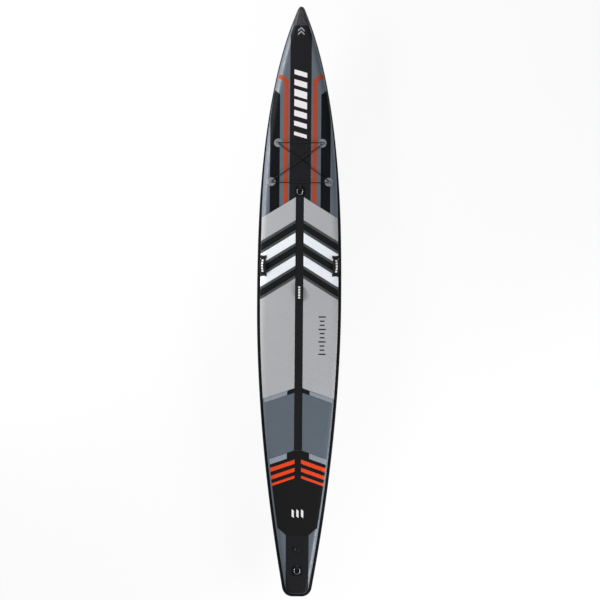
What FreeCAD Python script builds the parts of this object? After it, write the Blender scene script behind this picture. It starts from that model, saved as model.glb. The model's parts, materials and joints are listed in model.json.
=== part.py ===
import FreeCAD, Part
import Sketcher
import math
import os
from types import SimpleNamespace
from FreeCAD import Placement, Rotation, Vector

# An inflatable stand-up paddleboard of the long, narrow racing kind, in millimetres.
# +X points to the nose, +Y to port, +Z up. The origin is on the flat bottom, half-way along the board.

SIZES = {
    # Hull as a whole
    "board_length": 4267,
    "board_width": 607,
    "board_thickness": 150,
    "widest_place": -17,
    "nose_curve_share": 2.58,
    "nose_power_share": 0.8,
    "tail_drop_share": 0.69,
    "tail_curve_share": 1.865,
    "nose_tip_radius": 14,
    "nose_tip_fade": 30,
    "nose_rise": 190,
    "nose_thickness": 110,
    "bottom_arc_start": 500,
    "deck_arc_start": 880,
    "rail_depth": 60,
    "rail_slim_share": 0.62,
    "tail_corner_inner": 26,
    # Sheets, glue lines and gaps
    "skin": 1.2,
    "glue": 0.3,
    "rail_wall": 2.7,
    "rail_lap": 20,
    "patch": 1.2,
    "gap": 0.3,
    "groove": 2,
    "seam": 0.1,
    "overrun": 40,
    # Bow cap
    "cap_length": 137,
    "cap_plug_length": 114,
    "cap_skin": 1.5,
    "cap_nose_depth": 40,
    # Black bands round the rails
    "band_inset": 21,
    # Yarns between the skins
    "yarn_diameter": 1.5,
    "yarn_pitch": 190,
    "yarn_row_offset": 60,
    # Stringers
    "stringer_width": 57,
    "stringer_from_tail": 1057.5,
    "hull_stringer_width": 80,
    "hull_stringer_margin": 190,
    # Foam deck pads
    "pad": 5,
    "pad_edge_inset": 24,
    "rear_pad_edge_inset": 34,
    "pad_front": 757,
    "front_vee_share": 0.62,
    "rear_vee_share": 0.35,
    "fore_pad_length": 167,
    "border_band": 20,
    "black_band": 50,
    "white_band": 75,
    "light_pad_from_tail": 1506.5,
    "upper_border": 32,
    "tab_reach": 80,
    "slate_from_tail": 1055.5,
    "lower_border": 42,
    "chevrons_from_tail": 989.5,
    "chevron_first": 32,
    "chevron_second": 30,
    "chevron_third": 21,
    "chevron_space": 27,
    "tail_spine_width": 47,
    "tail_pad_from_tail": 444.5,
    "tail_pad_chamfer": 51,
    "tail_pad_end_width": 164,
    # Bungee
    "bungee_ahead_of_ring": 54,
    "bungee_length": 281,
    "bungee_front_half": 159,
    "bungee_back_half": 208,
    "bungee_patch_radius": 31,
    "bungee_diameter": 6,
    "eye_wire": 5,
    "eye_width": 17,
    "eye_height": 25,
    "eye_foot_length": 34,
    "eye_foot_width": 14,
    "eye_foot_thickness": 2,
    "clamp_length": 24,
    "clamp_wall": 2,
    "clamp_gap": 0.1,
    # D-rings
    "ring_wire": 5,
    "ring_width": 45,
    "ring_length": 44,
    "ring_corner": 5,
    "ring_patch_length": 74,
    "ring_patch_shift": 16,
    "ring_patch_width": 78,
    "ring_patch_corner": 18,
    "webbing": 1.5,
    "webbing_lean_share": 0.72,
    "webbing_rise_share": 3,
    "ring_webbing_width": 25,
    "ring_webbing_tail": 34,
    "ring_ahead_of_pad": 56,
    "stern_ring_from_tail": 200.5,
    # Carry handles
    "handle_length": 155,
    "handle_end_length": 24,
    "handle_end_width": 48,
    "handle_end_height": 3,
    "handle_end_corner": 8,
    "handle_strap_width": 38,
    "handle_strap": 2,
    "handle_rise": 27,
    "grip_thickness": 12,
    "grip_width": 46,
    "grip_slot_gap": 0.3,
    "grip_angle": 78,
    "grip_edge": 4,
    "centre_handle": 66,
    "side_handle": 258,
    "side_handle_inset": 44,
    "notch_length": 172,
    "notch_inset": 78,
    # Valve
    "valve_from_tail": 336.5,
    "valve_flange_radius": 30,
    "valve_flange": 3.5,
    "valve_gasket": 1.5,
    "valve_barrel_radius": 18,
    "valve_mouth_radius": 15,
    "valve_barrel_depth": 34,
    "valve_web": 3,
    "valve_seat_depth": 24,
    "valve_nut_radius": 28,
    "valve_nut": 6,
    "stem_radius": 3,
    "stem_button_radius": 6,
    "stem_button": 3,
    "stem_gap": 0.1,
    "air_hole_radius": 3.4,
    "air_hole_circle": 9.3,
    "diaphragm_radius": 13.6,
    "diaphragm": 1.5,
    "clip_radius": 5.5,
    "clip": 1.6,
    "spring_wire": 1,
    "spring_radius": 4.9,
    "spring_length": 12.6,
    "valve_cap_radius": 21,
    "valve_cap": 4.5,
    "valve_plug": 8,
    "valve_plug_gap": 0.3,
    "cap_bar": 6,
    "cap_bar_height": 4,
    "cap_bar_foot_share": 0.8,
    "cap_bar_top_share": 0.7,
    "cap_seal": 1.2,
    "tether": 1.2,
    "tether_width": 7,
    "tether_post_radius": 1.6,
    "tether_post_place": 26.5,
    # Fin and its box
    "fin_from_tail": 413.5,
    "fin_box_length": 330,
    "fin_box_width": 55,
    "fin_box_height": 32,
    "fin_box_slope": 10,
    "fin_patch_margin": 26,
    "fin_slot_length": 286,
    "fin_slot_width": 9.5,
    "fin_slot_depth": 25,
    "fin_groove_depth": 3,
    "fin_groove_height": 4.5,
    "fin_groove_cover": 4,
    "fin_entry": 18,
    "fin_tab_length": 192,
    "fin_tab_height": 22,
    "fin_tab_gap": 0.3,
    "fin_tongue": 16,
    "fin_tongue_thickness": 3.4,
    "fin_base": 186,
    "fin_depth": 198,
    "fin_blade": 7,
    "fin_tip_length": 52,
    "fin_tip_drop_share": 0.25,
    "fin_lead_belly_share": 0.17,
    "fin_trail_belly_share": 0.1,
    "fin_belly_share": 0.2,
    "fin_rake": 96,
    "fin_edge": 2.6,
    "fin_pin_diameter": 4,
    "fin_pin_inset": 14,
    "fin_screw_radius": 2,
    "fin_screw_head_radius": 3.6,
    "fin_screw_head": 2.4,
    "fin_screw_length": 18,
    "fin_plate": 2.5,
    "fin_plate_length": 13,
}

NOSE_STATIONS = 10
TAIL_STATIONS = 8
PAD_STATIONS = 9
SPRING_TURNS = 5
AIR_HOLES = 6
YARN_ROWS = 2

doc = FreeCAD.newDocument("paddleboard")
sheet = doc.addObject("Spreadsheet::Sheet", "sizes")
for row, (name, value) in enumerate(SIZES.items(), 1):
    sheet.set(f"A{row}", name)
    sheet.set(f"B{row}", str(value))
    sheet.setAlias(f"B{row}", name)
doc.recompute()
size = SimpleNamespace(**{name: float(sheet.get(name)) for name in SIZES})

pieces = []

# Shape of the hull: the widest line, the rocker of bottom and deck, and the depth of the rounded rail.

nose_x = size.board_length / 2
tail_x = -size.board_length / 2
wall_front = nose_x - size.cap_plug_length
band_front = nose_x - size.cap_length - size.gap
centre_ring = size.pad_front + size.ring_ahead_of_pad
bungee_back = centre_ring + size.bungee_ahead_of_ring
bungee_front = bungee_back + size.bungee_length
fin_place = tail_x + size.fin_from_tail
valve_place = tail_x + size.valve_from_tail
stern_ring = tail_x + size.stern_ring_from_tail


def half_width(x):
    """Half the board's width at a station, a power curve to the nose and another to the tail."""
    if x < size.widest_place:
        run = (size.widest_place - x) / (size.widest_place - tail_x)
        return size.board_width / 2 * (1 - size.tail_drop_share * run ** size.tail_curve_share)
    run = (x - size.widest_place) / (nose_x - size.widest_place)
    left = nose_x - x
    slim = size.board_width / 2 * max(0, 1 - run ** size.nose_curve_share) ** size.nose_power_share
    blunt = 2 * size.nose_tip_radius * left * math.exp(-left / size.nose_tip_fade)
    return math.sqrt(slim ** 2 + blunt)


def narrowing(x):
    """Angle, in radians, by which the widest line closes in towards the tail; zero in the front half."""
    if x >= size.widest_place:
        return 0
    reach = size.widest_place - tail_x
    run = (size.widest_place - x) / reach
    slope = size.tail_drop_share * size.tail_curve_share * run ** (size.tail_curve_share - 1)
    return math.atan(size.board_width / 2 * slope / reach)


def arc_rise(x, start, total):
    """Height of an arc that leaves the level at start and has risen by total at the nose."""
    if x <= start:
        return 0
    run = nose_x - start
    radius = (run ** 2 + total ** 2) / (2 * total)
    return radius - math.sqrt(radius ** 2 - (x - start) ** 2)


deck_rise = size.nose_rise + size.nose_thickness - size.board_thickness


def bottom_z(x):
    return arc_rise(x, size.bottom_arc_start, size.nose_rise)


def deck_z(x):
    return size.board_thickness + arc_rise(x, size.deck_arc_start, deck_rise)


def deck_slope(x):
    """Angle, in degrees, at which the deck climbs towards the nose."""
    run = nose_x - size.deck_arc_start
    radius = (run ** 2 + deck_rise ** 2) / (2 * deck_rise)
    return math.degrees(math.asin(max(0, x - size.deck_arc_start) / radius))


def rail_half(x):
    """How far in from the widest line the rail's rounding starts."""
    return size.rail_depth * math.tanh(size.rail_slim_share * half_width(x) / size.rail_depth)


def section_place(x, out, up, side, square):
    """Point of a cross-section: out from the rail ellipse's centre, up from mid-height.

    The section stands square to the widest line, or, if square is false, square to the board's length.
    """
    lean = narrowing(x)
    inward = rail_half(x) - out
    middle = (bottom_z(x) + deck_z(x)) / 2
    if square:
        along = x + inward * math.sin(lean)
        across = half_width(x) - inward * math.cos(lean)
    else:
        along = x
        across = half_width(x) - inward / math.cos(lean)
    return Vector(along, side * across, middle + up)


def half_height(x):
    return (deck_z(x) - bottom_z(x)) / 2


def line(start, end):
    return Part.LineSegment(start, end).toShape()


def rail_arc(x, offset, start, end, side, square):
    """Stretch of the rail's rounding between two angles from the level, as one smooth edge."""
    wide = rail_half(x) + offset
    high = half_height(x) + offset
    reach = 4 / 3 * math.tan((end - start) / 4)
    first = (wide * math.cos(start), high * math.sin(start))
    last = (wide * math.cos(end), high * math.sin(end))
    leave = (first[0] - reach * wide * math.sin(start), first[1] + reach * high * math.cos(start))
    arrive = (last[0] + reach * wide * math.sin(end), last[1] - reach * high * math.cos(end))
    curve = Part.BezierCurve()
    curve.setPoles([section_place(x, *spot, side, square) for spot in (first, leave, arrive, last)])
    return curve.toShape()


def loft(wires):
    made = Part.makeLoft(wires, True, False)
    if made.Volume < 0:
        made.reverse()
    return made


def prism(corners):
    """Upright block over a plan outline, tall enough to pass the whole board."""
    low = -size.overrun
    tall = size.board_thickness + size.nose_rise + 2 * size.overrun
    points = [Vector(x, y, low) for x, y in corners]
    return Part.Face(Part.makePolygon(points + points[:1])).extrude(Vector(0, 0, tall))


def upright_cylinder(x, y, radius):
    low = Vector(x, y, -size.overrun)
    return Part.makeCylinder(radius, size.board_thickness + size.nose_rise + 2 * size.overrun, low)


def keep(label, shape, place=None):
    """Store a finished shape as a sub-part of its own."""
    piece = doc.addObject("Part::Feature", label)
    piece.Label = label
    piece.Shape = shape
    if place:
        piece.Placement = place * shape.Placement
    pieces.append(piece)
    return piece


# Rail: side walls, tail wall and the black bands over them.

quarter = math.pi / 2


def wall_section(x, side):
    """Side wall: a round rail with a lap flange under each skin."""
    high = half_height(x)
    inner = -size.rail_wall
    under = high - size.skin - size.glue
    over = high - size.rail_wall
    lap = -size.rail_lap
    spots = [(0, high), (0, under), (lap, under), (lap, over), (0, over)]
    top = [section_place(x, *spot, side, True) for spot in spots]
    low = [section_place(x, out, -up, side, True) for out, up in spots]
    edges = [line(top[i], top[i + 1]) for i in range(4)]
    edges += [rail_arc(x, inner, quarter, 0, side, True), rail_arc(x, inner, 0, -quarter, side, True)]
    edges += [line(low[i + 1], low[i]) for i in reversed(range(4))]
    edges += [rail_arc(x, 0, -quarter, 0, side, True), rail_arc(x, 0, 0, quarter, side, True)]
    return Part.Wire(edges)


def band_angle(x, inset):
    """Angle on the rail's rounding at which the surface lies that far in from the widest line."""
    return math.acos(1 - inset / rail_half(x))


def layer_section(x, low, high, start, end, side, square):
    """Layer on the rounding between two angles and two heights above the hull."""
    middle = (start + end) / 2
    edges = [rail_arc(x, high, start, middle, side, square), rail_arc(x, high, middle, end, side, square)]
    inner = [rail_arc(x, low, end, middle, side, square), rail_arc(x, low, middle, start, side, square)]
    edges.append(line(edges[1].Vertexes[-1].Point, inner[0].Vertexes[0].Point))
    edges += inner
    edges.append(line(inner[1].Vertexes[-1].Point, edges[0].Vertexes[0].Point))
    return Part.Wire(edges)


def band_section(x, side):
    angle = band_angle(x, size.band_inset)
    return layer_section(x, size.glue, size.glue + size.patch, -angle, angle, side, True)


def tail_corner():
    """Station where the rail turns into the transom, its radius, and the corner's centre."""
    x = tail_x + rail_half(tail_x)
    for _ in range(4):
        radius = rail_half(x) + size.tail_corner_inner
        x = tail_x + radius * (1 - math.sin(narrowing(x)))
    lean = narrowing(x)
    centre = Vector(x + radius * math.sin(lean), half_width(x) - radius * math.cos(lean), 0)
    return x, radius, centre


corner_x, corner_radius, corner_centre = tail_corner()


def front_stations(end):
    reach = end - size.widest_place
    turns = [quarter * i / NOSE_STATIONS for i in range(NOSE_STATIONS + 1)]
    return [size.widest_place + reach * math.sin(turn) for turn in turns]


def rail_stations(front):
    """Stations from the tail corner to the given front end, closer together towards the nose."""
    back = [size.widest_place - (size.widest_place - corner_x) * i / TAIL_STATIONS
            for i in range(1, TAIL_STATIONS + 1)]
    return sorted(back + front_stations(front))


def round_the_tail(section):
    """Carry a section of the rail round both corners and along the transom."""
    face = Part.Face(section)
    turn = 90 - math.degrees(narrowing(corner_x))
    port = face.revolve(corner_centre, Vector(0, 0, 1), turn)
    across = face.copy()
    across.rotate(corner_centre, Vector(0, 0, 1), turn)
    straight = across.extrude(Vector(0, -2 * corner_centre.y, 0))
    starboard = port.mirror(Vector(0, 0, 0), Vector(0, 1, 0))
    return port.fuse([straight, starboard]).removeSplitter()


def tail_wall_section():
    """The rail's round shell at the tail, where the corners leave no room for a lap."""
    x = corner_x
    return layer_section(x, -size.rail_wall, 0, -quarter, quarter, 1, True)


def side_name(side):
    return "left" if side > 0 else "right"


for side in (1, -1):
    keep(side_name(side) + "_side_wall", loft([wall_section(x, side) for x in rail_stations(wall_front)]))
    keep(side_name(side) + "_rail_band", loft([band_section(x, side) for x in rail_stations(band_front)]))
keep("tail_wall", round_the_tail(tail_wall_section()))
keep("tail_rail_band", round_the_tail(band_section(corner_x, 1)))

# Skins and stringers: flat sheets that follow the rocker, cut to plan outlines. The deck's skin is welded
# from two sheets, a level one and the rising one at the bow.


def side_profile(surface, level, low, high):
    """Sheet across the whole board that follows the deck or the bottom between two heights.

    The level stations run from the tail to the start of the arc, with a face of its own between each two.
    """
    middle = (level[-1] + nose_x) / 2

    def path(offset):
        spots = [Vector(x, 0, surface(x) + offset) for x in (*level, middle, nose_x)]
        flat = [line(spots[i], spots[i + 1]) for i in range(len(level) - 1)]
        return [*flat, Part.Arc(*spots[-3:]).toShape()]

    under = path(low)
    over = path(high)
    rise = Vector(0, 0, high - low)
    first = under[0].Vertexes[0].Point
    last = under[-1].Vertexes[-1].Point
    edges = [*under, line(last, last + rise), *reversed(over), line(first + rise, first)]
    wire = Part.Wire(Part.__sortEdges__(edges))
    sheet_face = Part.Face(wire)
    sheet_face.translate(Vector(0, -size.board_width, 0))
    return sheet_face.extrude(Vector(0, 2 * size.board_width, 0))


def deck_sheet(low, high):
    return side_profile(deck_z, (tail_x, size.deck_arc_start), low, high)


def bottom_sheet(low, high):
    clear_back = fin_place + size.fin_box_length / 2 + 2 * size.fin_patch_margin
    return side_profile(bottom_z, (tail_x, clear_back, size.bottom_arc_start), low, high)


def skin_outline():
    """Plan of a skin: where the rounding of the rails and of the transom starts."""
    port = [section_place(x, -size.seam, 0, 1, True) for x in rail_stations(wall_front)]
    port = [Vector(p.x, p.y, 0) for p in port]
    starboard = [Vector(p.x, -p.y, 0) for p in port]
    inner = size.tail_corner_inner - size.seam
    middle_angle = (quarter + narrowing(corner_x) + math.pi) / 2
    last = Vector(corner_centre.x - inner, corner_centre.y, 0)
    edges = [line(port[-1], starboard[-1]), line(last, Vector(last.x, -last.y, 0))]
    for row, side in ((port, 1), (starboard, -1)):
        curve = Part.BSplineCurve()
        curve.interpolate(row)
        edges.append(curve.toShape())
        centre = Vector(corner_centre.x, side * corner_centre.y, 0)
        middle = centre + Vector(inner * math.cos(middle_angle), side * inner * math.sin(middle_angle), 0)
        edges.append(Part.Arc(row[0], middle, centre + Vector(-inner, 0, 0)).toShape())
    return Part.Wire(Part.__sortEdges__(edges))


def skin(sheet_solid):
    face = Part.Face(skin_outline())
    face.translate(Vector(0, 0, -size.overrun))
    plan = face.extrude(Vector(0, 0, size.board_thickness + size.nose_rise + 2 * size.overrun))
    return sheet_solid.common(plan)


def rectangle(x_low, x_high, y_low, y_high):
    return [(x_low, y_low), (x_high, y_low), (x_high, y_high), (x_low, y_high)]


valve_hole = Part.makeCylinder(size.valve_barrel_radius + size.gap, size.overrun,
                               Vector(valve_place, 0, size.board_thickness - size.overrun / 2))
deck_skin = skin(deck_sheet(-size.skin, 0)).cut(valve_hole)
beyond = size.board_width / 2 + size.overrun
deck_seam = (size.deck_arc_start - size.seam / 2, size.deck_arc_start + size.seam / 2)
keep("top_skin", deck_skin.common(prism(rectangle(tail_x, deck_seam[0], -beyond, beyond))))
keep("bow_skin", deck_skin.common(prism(rectangle(deck_seam[1], nose_x, -beyond, beyond))))
keep("bottom_skin", skin(bottom_sheet(0, size.skin)))

stringer_top = size.glue + size.patch
half_stringer = size.stringer_width / 2
stringer_back = tail_x + size.stringer_from_tail
keep("deck_stringer", deck_sheet(size.glue, stringer_top).common(
    prism(rectangle(stringer_back, size.pad_front, -half_stringer, half_stringer))))
half_hull_stringer = size.hull_stringer_width / 2
hull_stringer_ends = (corner_centre.x + size.hull_stringer_margin, wall_front - size.hull_stringer_margin)
keep("hull_stringer", bottom_sheet(size.skin + size.glue, size.skin + size.glue + size.patch).common(
    prism(rectangle(*hull_stringer_ends, -half_hull_stringer, half_hull_stringer))))


def yarns():
    """Threads that tie the skins together, a few for the thousands that hold them flat."""
    made = []
    clear = size.rail_lap + size.yarn_row_offset / 2
    count = int((wall_front - corner_x) / size.yarn_pitch)
    for i in range(1, count):
        x = corner_x + size.yarn_pitch * i
        low = bottom_z(x) + size.skin
        high = deck_z(x) - size.skin
        for k in range(YARN_ROWS):
            y = size.yarn_row_offset + k * size.yarn_row_offset * 2
            if y > half_width(x) - rail_half(x) - clear:
                continue
            for side in (1, -1):
                base = Vector(x, side * y, low)
                made.append(Part.makeCylinder(size.yarn_diameter / 2, high - low, base))
    return Part.makeCompound(made)


keep("drop_stitch_yarns", yarns())

# Bow cap: a moulded plug that closes the nose, with a thin skirt over the walls behind it.


def cap_height_share(x):
    """How much of the hull's height is left near the tip, where the cap rounds off in side view."""
    left = min(nose_x - x, size.cap_nose_depth) / size.cap_nose_depth
    return math.sqrt(1 - (1 - left) ** 2)


def cap_section(x, offset):
    """Whole cross-section of the nose, from rail to rail."""
    wide = rail_half(x) + offset
    high = half_height(x) * cap_height_share(x) + offset
    flat = half_width(x) - rail_half(x)
    middle = (bottom_z(x) + deck_z(x)) / 2
    reach = 4 / 3 * math.tan(math.pi / 8)
    edges = []
    ends = []
    for side, level in ((1, 1), (1, -1), (-1, -1), (-1, 1)):
        centre = Vector(x, side * flat, middle)
        shoulder = centre + Vector(0, 0, level * high)
        edge = centre + Vector(0, side * wide, 0)
        poles = [shoulder, shoulder + Vector(0, side * wide * reach, 0),
                 edge + Vector(0, 0, level * high * reach), edge]
        if side * level < 0:
            poles.reverse()
        curve = Part.BezierCurve()
        curve.setPoles(poles)
        edges.append(curve.toShape())
        ends.append((poles[0], poles[-1]))
    order = []
    for i in range(4):
        order.append(edges[i])
        if (ends[i][1] - ends[(i + 1) % 4][0]).Length > size.gap:
            order.append(line(ends[i][1], ends[(i + 1) % 4][0]))
    return Part.Wire(order)


def bow_cap():
    skirt = nose_x - size.cap_length
    behind = [skirt, (skirt + wall_front) / 2, wall_front]
    curve_start = nose_x - size.cap_nose_depth
    between = [wall_front + (curve_start - wall_front) * i / 3 for i in (1, 2)]
    tip_angles = (90, 76, 62, 49, 37, 26, 16, 9)
    tip = [nose_x - size.cap_nose_depth * (1 - math.cos(math.radians(angle))) for angle in tip_angles]
    outside = size.glue + size.cap_skin
    body = loft([cap_section(x, outside) for x in behind + between + tip])
    room = loft([cap_section(x, size.glue) for x in [skirt - size.cap_skin, *behind]])
    return body.cut(room)


keep("nose_bumper", bow_cap())

# Foam deck pads: blanks that wrap onto the rails, cut into panels along the chevron lines.

pad_low = size.glue
pad_high = size.glue + size.pad


def pad_section(x, low, high, inset, side, inner):
    """Half of the pad's cross-section, from a line beside the middle out onto the rail."""
    angle = band_angle(x, inset)
    under = rail_arc(x, low, quarter, angle, side, False)
    over = rail_arc(x, high, angle, quarter, side, False)
    middle = (bottom_z(x) + deck_z(x)) / 2
    top = half_height(x)
    start = Vector(x, side * inner, middle + top + low)
    end = Vector(x, side * inner, middle + top + high)
    edges = [line(start, under.Vertexes[0].Point), under,
             line(under.Vertexes[-1].Point, over.Vertexes[0].Point), over,
             line(over.Vertexes[-1].Point, end), line(end, start)]
    return Part.Wire(edges)


def whole_section(x, low, high, inset):
    """The pad's cross-section from rail to rail."""
    angle = band_angle(x, inset)
    under_port = rail_arc(x, low, angle, quarter, 1, False)
    over_port = rail_arc(x, high, quarter, angle, 1, False)
    under_star = rail_arc(x, low, quarter, angle, -1, False)
    over_star = rail_arc(x, high, angle, quarter, -1, False)

    def first(edge):
        return edge.Vertexes[0].Point

    def last(edge):
        return edge.Vertexes[-1].Point

    edges = [under_port, line(last(under_port), first(under_star)), under_star,
             line(last(under_star), first(over_star)), over_star,
             line(last(over_star), first(over_port)), over_port,
             line(last(over_port), first(under_port))]
    return Part.Wire(edges)


def blank(front, back, low, high, inset, side=0, inner=0):
    """Layer on deck and shoulder between two stations, on one side or from rail to rail."""
    stations = [back + (front - back) * i / (PAD_STATIONS - 1) for i in range(PAD_STATIONS)]
    if side:
        return loft([pad_section(x, low, high, inset, side, inner) for x in stations])
    return loft([whole_section(x, low, high, inset) for x in stations])


def panel(side, front, back, inner, outer, front_share, back_share):
    """Plan of a panel between two lines that fall back from the middle towards the rail."""
    half_groove = size.groove / 2
    base = half_stringer

    def place(line_x, share, y):
        return (line_x - share * (y - base), side * y)

    corners = [place(front - half_groove, front_share, inner), place(front - half_groove, front_share, outer),
               place(back + half_groove, back_share, outer), place(back + half_groove, back_share, inner)]
    return prism(corners)


pad_inner = half_stringer + size.groove / 2
notch = {}
for side in (1, -1):
    low_x = size.side_handle - size.notch_length / 2
    edge = half_width(size.side_handle) - size.notch_inset
    plan = rectangle(low_x, low_x + size.notch_length, edge, beyond)
    notch[side] = prism([(x, side * y) for x, y in plan])

band_order = ("border", "black", "border", "white", "border", "black", "border", "white", "border",
              "black", "border")
band_lengths = {"border": size.border_band, "black": size.black_band, "white": size.white_band}
bands_front = size.pad_front - size.fore_pad_length
bands_back = bands_front - sum(band_lengths[name] for name in band_order)
light_pad_back = tail_x + size.light_pad_from_tail
slate_back = tail_x + size.slate_from_tail
tail_pad_back = tail_x + size.tail_pad_from_tail
upper_back = light_pad_back - size.upper_border
lower_back = slate_back - size.lower_border
panels = {"border": [], "black": [], "white": []}
front_vee = size.front_vee_share
rear_vee = size.rear_vee_share
blank_back = upper_back - size.board_width / 2 * rear_vee
for side in (1, -1):
    front_blank = blank(size.pad_front, blank_back, pad_low, pad_high, size.pad_edge_inset, side, pad_inner)
    fore = panel(side, size.pad_front, bands_front, pad_inner, beyond, front_vee, front_vee)
    aft = panel(side, bands_back, light_pad_back, pad_inner, beyond, front_vee, rear_vee)
    light = [front_blank.common(fore).cut(notch[side]), front_blank.common(aft).cut(notch[side])]
    keep("deck_pad_" + side_name(side), Part.makeCompound(light))
    start = bands_front
    for name in band_order:
        end = start - band_lengths[name]
        cutter = panel(side, start, end, pad_inner, beyond, front_vee, front_vee)
        panels[name].append(front_blank.common(cutter).cut(notch[side]))
        start = end
keep("pad_grey_borders", Part.makeCompound(panels["border"]))
keep("pad_black_bands", Part.makeCompound(panels["black"]))
keep("pad_white_bands", Part.makeCompound(panels["white"]))

lights = []
tabs = []
chevrons = []
chevron_starts = []
line_x = tail_x + size.chevrons_from_tail
for length in (size.chevron_first, size.chevron_second, size.chevron_third):
    chevron_starts.append((line_x, line_x - length))
    line_x -= length + size.chevron_space
for side in (1, -1):
    rear_blank = blank(light_pad_back, tail_pad_back, pad_low, pad_high, size.rear_pad_edge_inset, side, 0)
    tab_edge = size.tab_reach
    half_groove = size.groove / 2
    lights.append(rear_blank.common(
        panel(side, light_pad_back, upper_back, tab_edge + half_groove, beyond, rear_vee, rear_vee)))
    lights.append(rear_blank.common(
        panel(side, slate_back, lower_back, tab_edge + half_groove, beyond, rear_vee, rear_vee)))
    tabs.append(rear_blank.common(
        panel(side, light_pad_back, upper_back, pad_inner, tab_edge - half_groove, rear_vee, rear_vee)))
    keep("pad_slate_" + side_name(side), rear_blank.common(
        panel(side, upper_back, slate_back, pad_inner, beyond, rear_vee, rear_vee)))
    for start, end in chevron_starts:
        chevrons.append(rear_blank.common(
            panel(side, start, end, size.tail_spine_width / 2, beyond, rear_vee, rear_vee)))
keep("pad_light_borders", Part.makeCompound(lights))
keep("pad_black_tabs", Part.makeCompound(tabs))
keep("pad_orange_chevrons", Part.makeCompound(chevrons))


def tail_pad():
    """Black pad at the tail: tabs and spine between the chevrons, chamfered at its back corners."""
    base = half_stringer
    half_groove = size.groove / 2
    tab = size.tab_reach - half_groove
    front = slate_back - half_groove
    shoulder = lower_back - half_groove
    end_half = size.tail_pad_end_width / 2
    chamfer_x = tail_pad_back + size.tail_pad_chamfer
    wide = end_half + size.tail_pad_chamfer
    half_plan = [(front, base), (front - rear_vee * (tab - base), tab),
                 (shoulder - rear_vee * (tab - base), tab), (shoulder - rear_vee * (beyond - base), beyond),
                 (chamfer_x, beyond), (chamfer_x, wide), (tail_pad_back, end_half)]
    plan = half_plan + [(x, -y) for x, y in reversed(half_plan)]
    whole = blank(slate_back, tail_pad_back, pad_low, pad_high, size.rear_pad_edge_inset)
    made = whole.common(prism(plan))
    for side in (1, -1):
        for start, end in chevron_starts:
            cutter = panel(side, start + size.groove, end - size.groove,
                           size.tail_spine_width / 2 - size.groove, beyond, rear_vee, rear_vee)
            made = made.cut(cutter)
    return made


keep("tail_pad", tail_pad())

# Helpers for pieces made from bound sketches.


def new_body(label):
    body = doc.addObject("PartDesign::Body", label)
    body.Label = label
    pieces.append(body)
    return body


def new_sketch(body, role, name, height=0):
    plane = next(feature for feature in body.Origin.OriginFeatures if feature.Role == role)
    made = body.newObject("Sketcher::SketchObject", name)
    made.AttachmentSupport = (plane, "")
    made.MapMode = "FlatFace"
    made.AttachmentOffset = Placement(Vector(0, 0, height), Rotation())
    return made


def bound(made, kind, *rest):
    """Add a constraint whose value follows an expression, given last."""
    number = made.addConstraint(Sketcher.Constraint(kind, *rest[:-1], 1.0))
    made.setExpression(f"Constraints[{number}]", rest[-1])


def polygon(made, corners):
    """Closed outline of straight edges, each corner held by its two distances from the middle."""
    count = len(corners)
    angles = [2 * math.pi * i / count for i in range(count)]
    rough = [Vector(math.cos(angle), math.sin(angle), 0) for angle in angles]
    for i in range(count):
        made.addGeometry(Part.LineSegment(rough[i], rough[(i + 1) % count]), False)
    for i in range(count):
        made.addConstraint(Sketcher.Constraint("Coincident", i, 2, (i + 1) % count, 1))
    for i, (across, up) in enumerate(corners):
        bound(made, "DistanceX", -1, 1, i, 1, across)
        bound(made, "DistanceY", -1, 1, i, 1, up)


def circle(made, across, up, radius):
    number = made.addGeometry(Part.Circle(Vector(1, 1, 0), Vector(0, 0, 1), 1), False)
    bound(made, "DistanceX", -1, 1, number, 3, across)
    bound(made, "DistanceY", -1, 1, number, 3, up)
    bound(made, "Radius", number, radius)


def turned(label, corners, place):
    """Solid of revolution about its own upright axis; corners are radius and height."""
    body = new_body(label)
    made = new_sketch(body, "XZ_Plane", label + "_profile")
    polygon(made, corners)
    turn = body.newObject("PartDesign::Revolution", label + "_turn")
    turn.Profile = made
    turn.ReferenceAxis = (made, ["V_Axis"])
    turn.Angle = 360
    body.Placement = place
    return body


def padded(body, made, name, length):
    pad = body.newObject("PartDesign::Pad", name)
    pad.Profile = made
    pad.setExpression("Length", length)
    pad.SideType = "Symmetric"
    return pad


def pocketed(body, made, name, length):
    pocket = body.newObject("PartDesign::Pocket", name)
    pocket.Profile = made
    pocket.setExpression("Length", length)
    pocket.SideType = "Symmetric"
    return pocket


def deck_place(x, above):
    """Frame on the deck at a station: its Z stands off the deck and its X climbs with it."""
    tilt = Rotation(Vector(0, 1, 0), -deck_slope(x))
    return Placement(Vector(x, 0, deck_z(x)), tilt) * Placement(Vector(0, 0, above), Rotation())


def box(x_low, x_high, y_low, y_high, z_low, z_high):
    return Part.makeBox(x_high - x_low, y_high - y_low, z_high - z_low, Vector(x_low, y_low, z_low))


def rounded_plan(length, width, radius, low, high):
    """Upright slab with rounded corners about the origin."""
    slab = box(-length / 2, length / 2, -width / 2, width / 2, low, high)
    upright = [edge for edge in slab.Edges if abs(edge.Length - (high - low)) < size.glue
               and edge.Vertexes[0].X == edge.Vertexes[1].X and edge.Vertexes[0].Y == edge.Vertexes[1].Y]
    return slab.makeFillet(radius, upright)


def tube(path, radius):
    """Round solid along a smooth wire."""
    start = path.Edges[0]
    direction = start.tangentAt(start.FirstParameter)
    if start.Orientation == "Reversed":
        direction = start.tangentAt(start.LastParameter) * -1
    ring = Part.Wire(Part.makeCircle(radius, path.OrderedVertexes[0].Point, direction))
    shell = Part.BRepOffsetAPI.MakePipeShell(path)
    shell.add(ring)
    shell.build()
    shell.makeSolid()
    return shell.shape()


# Bungee: a patch and an eye at each corner, and one cord that goes round all four.

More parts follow.
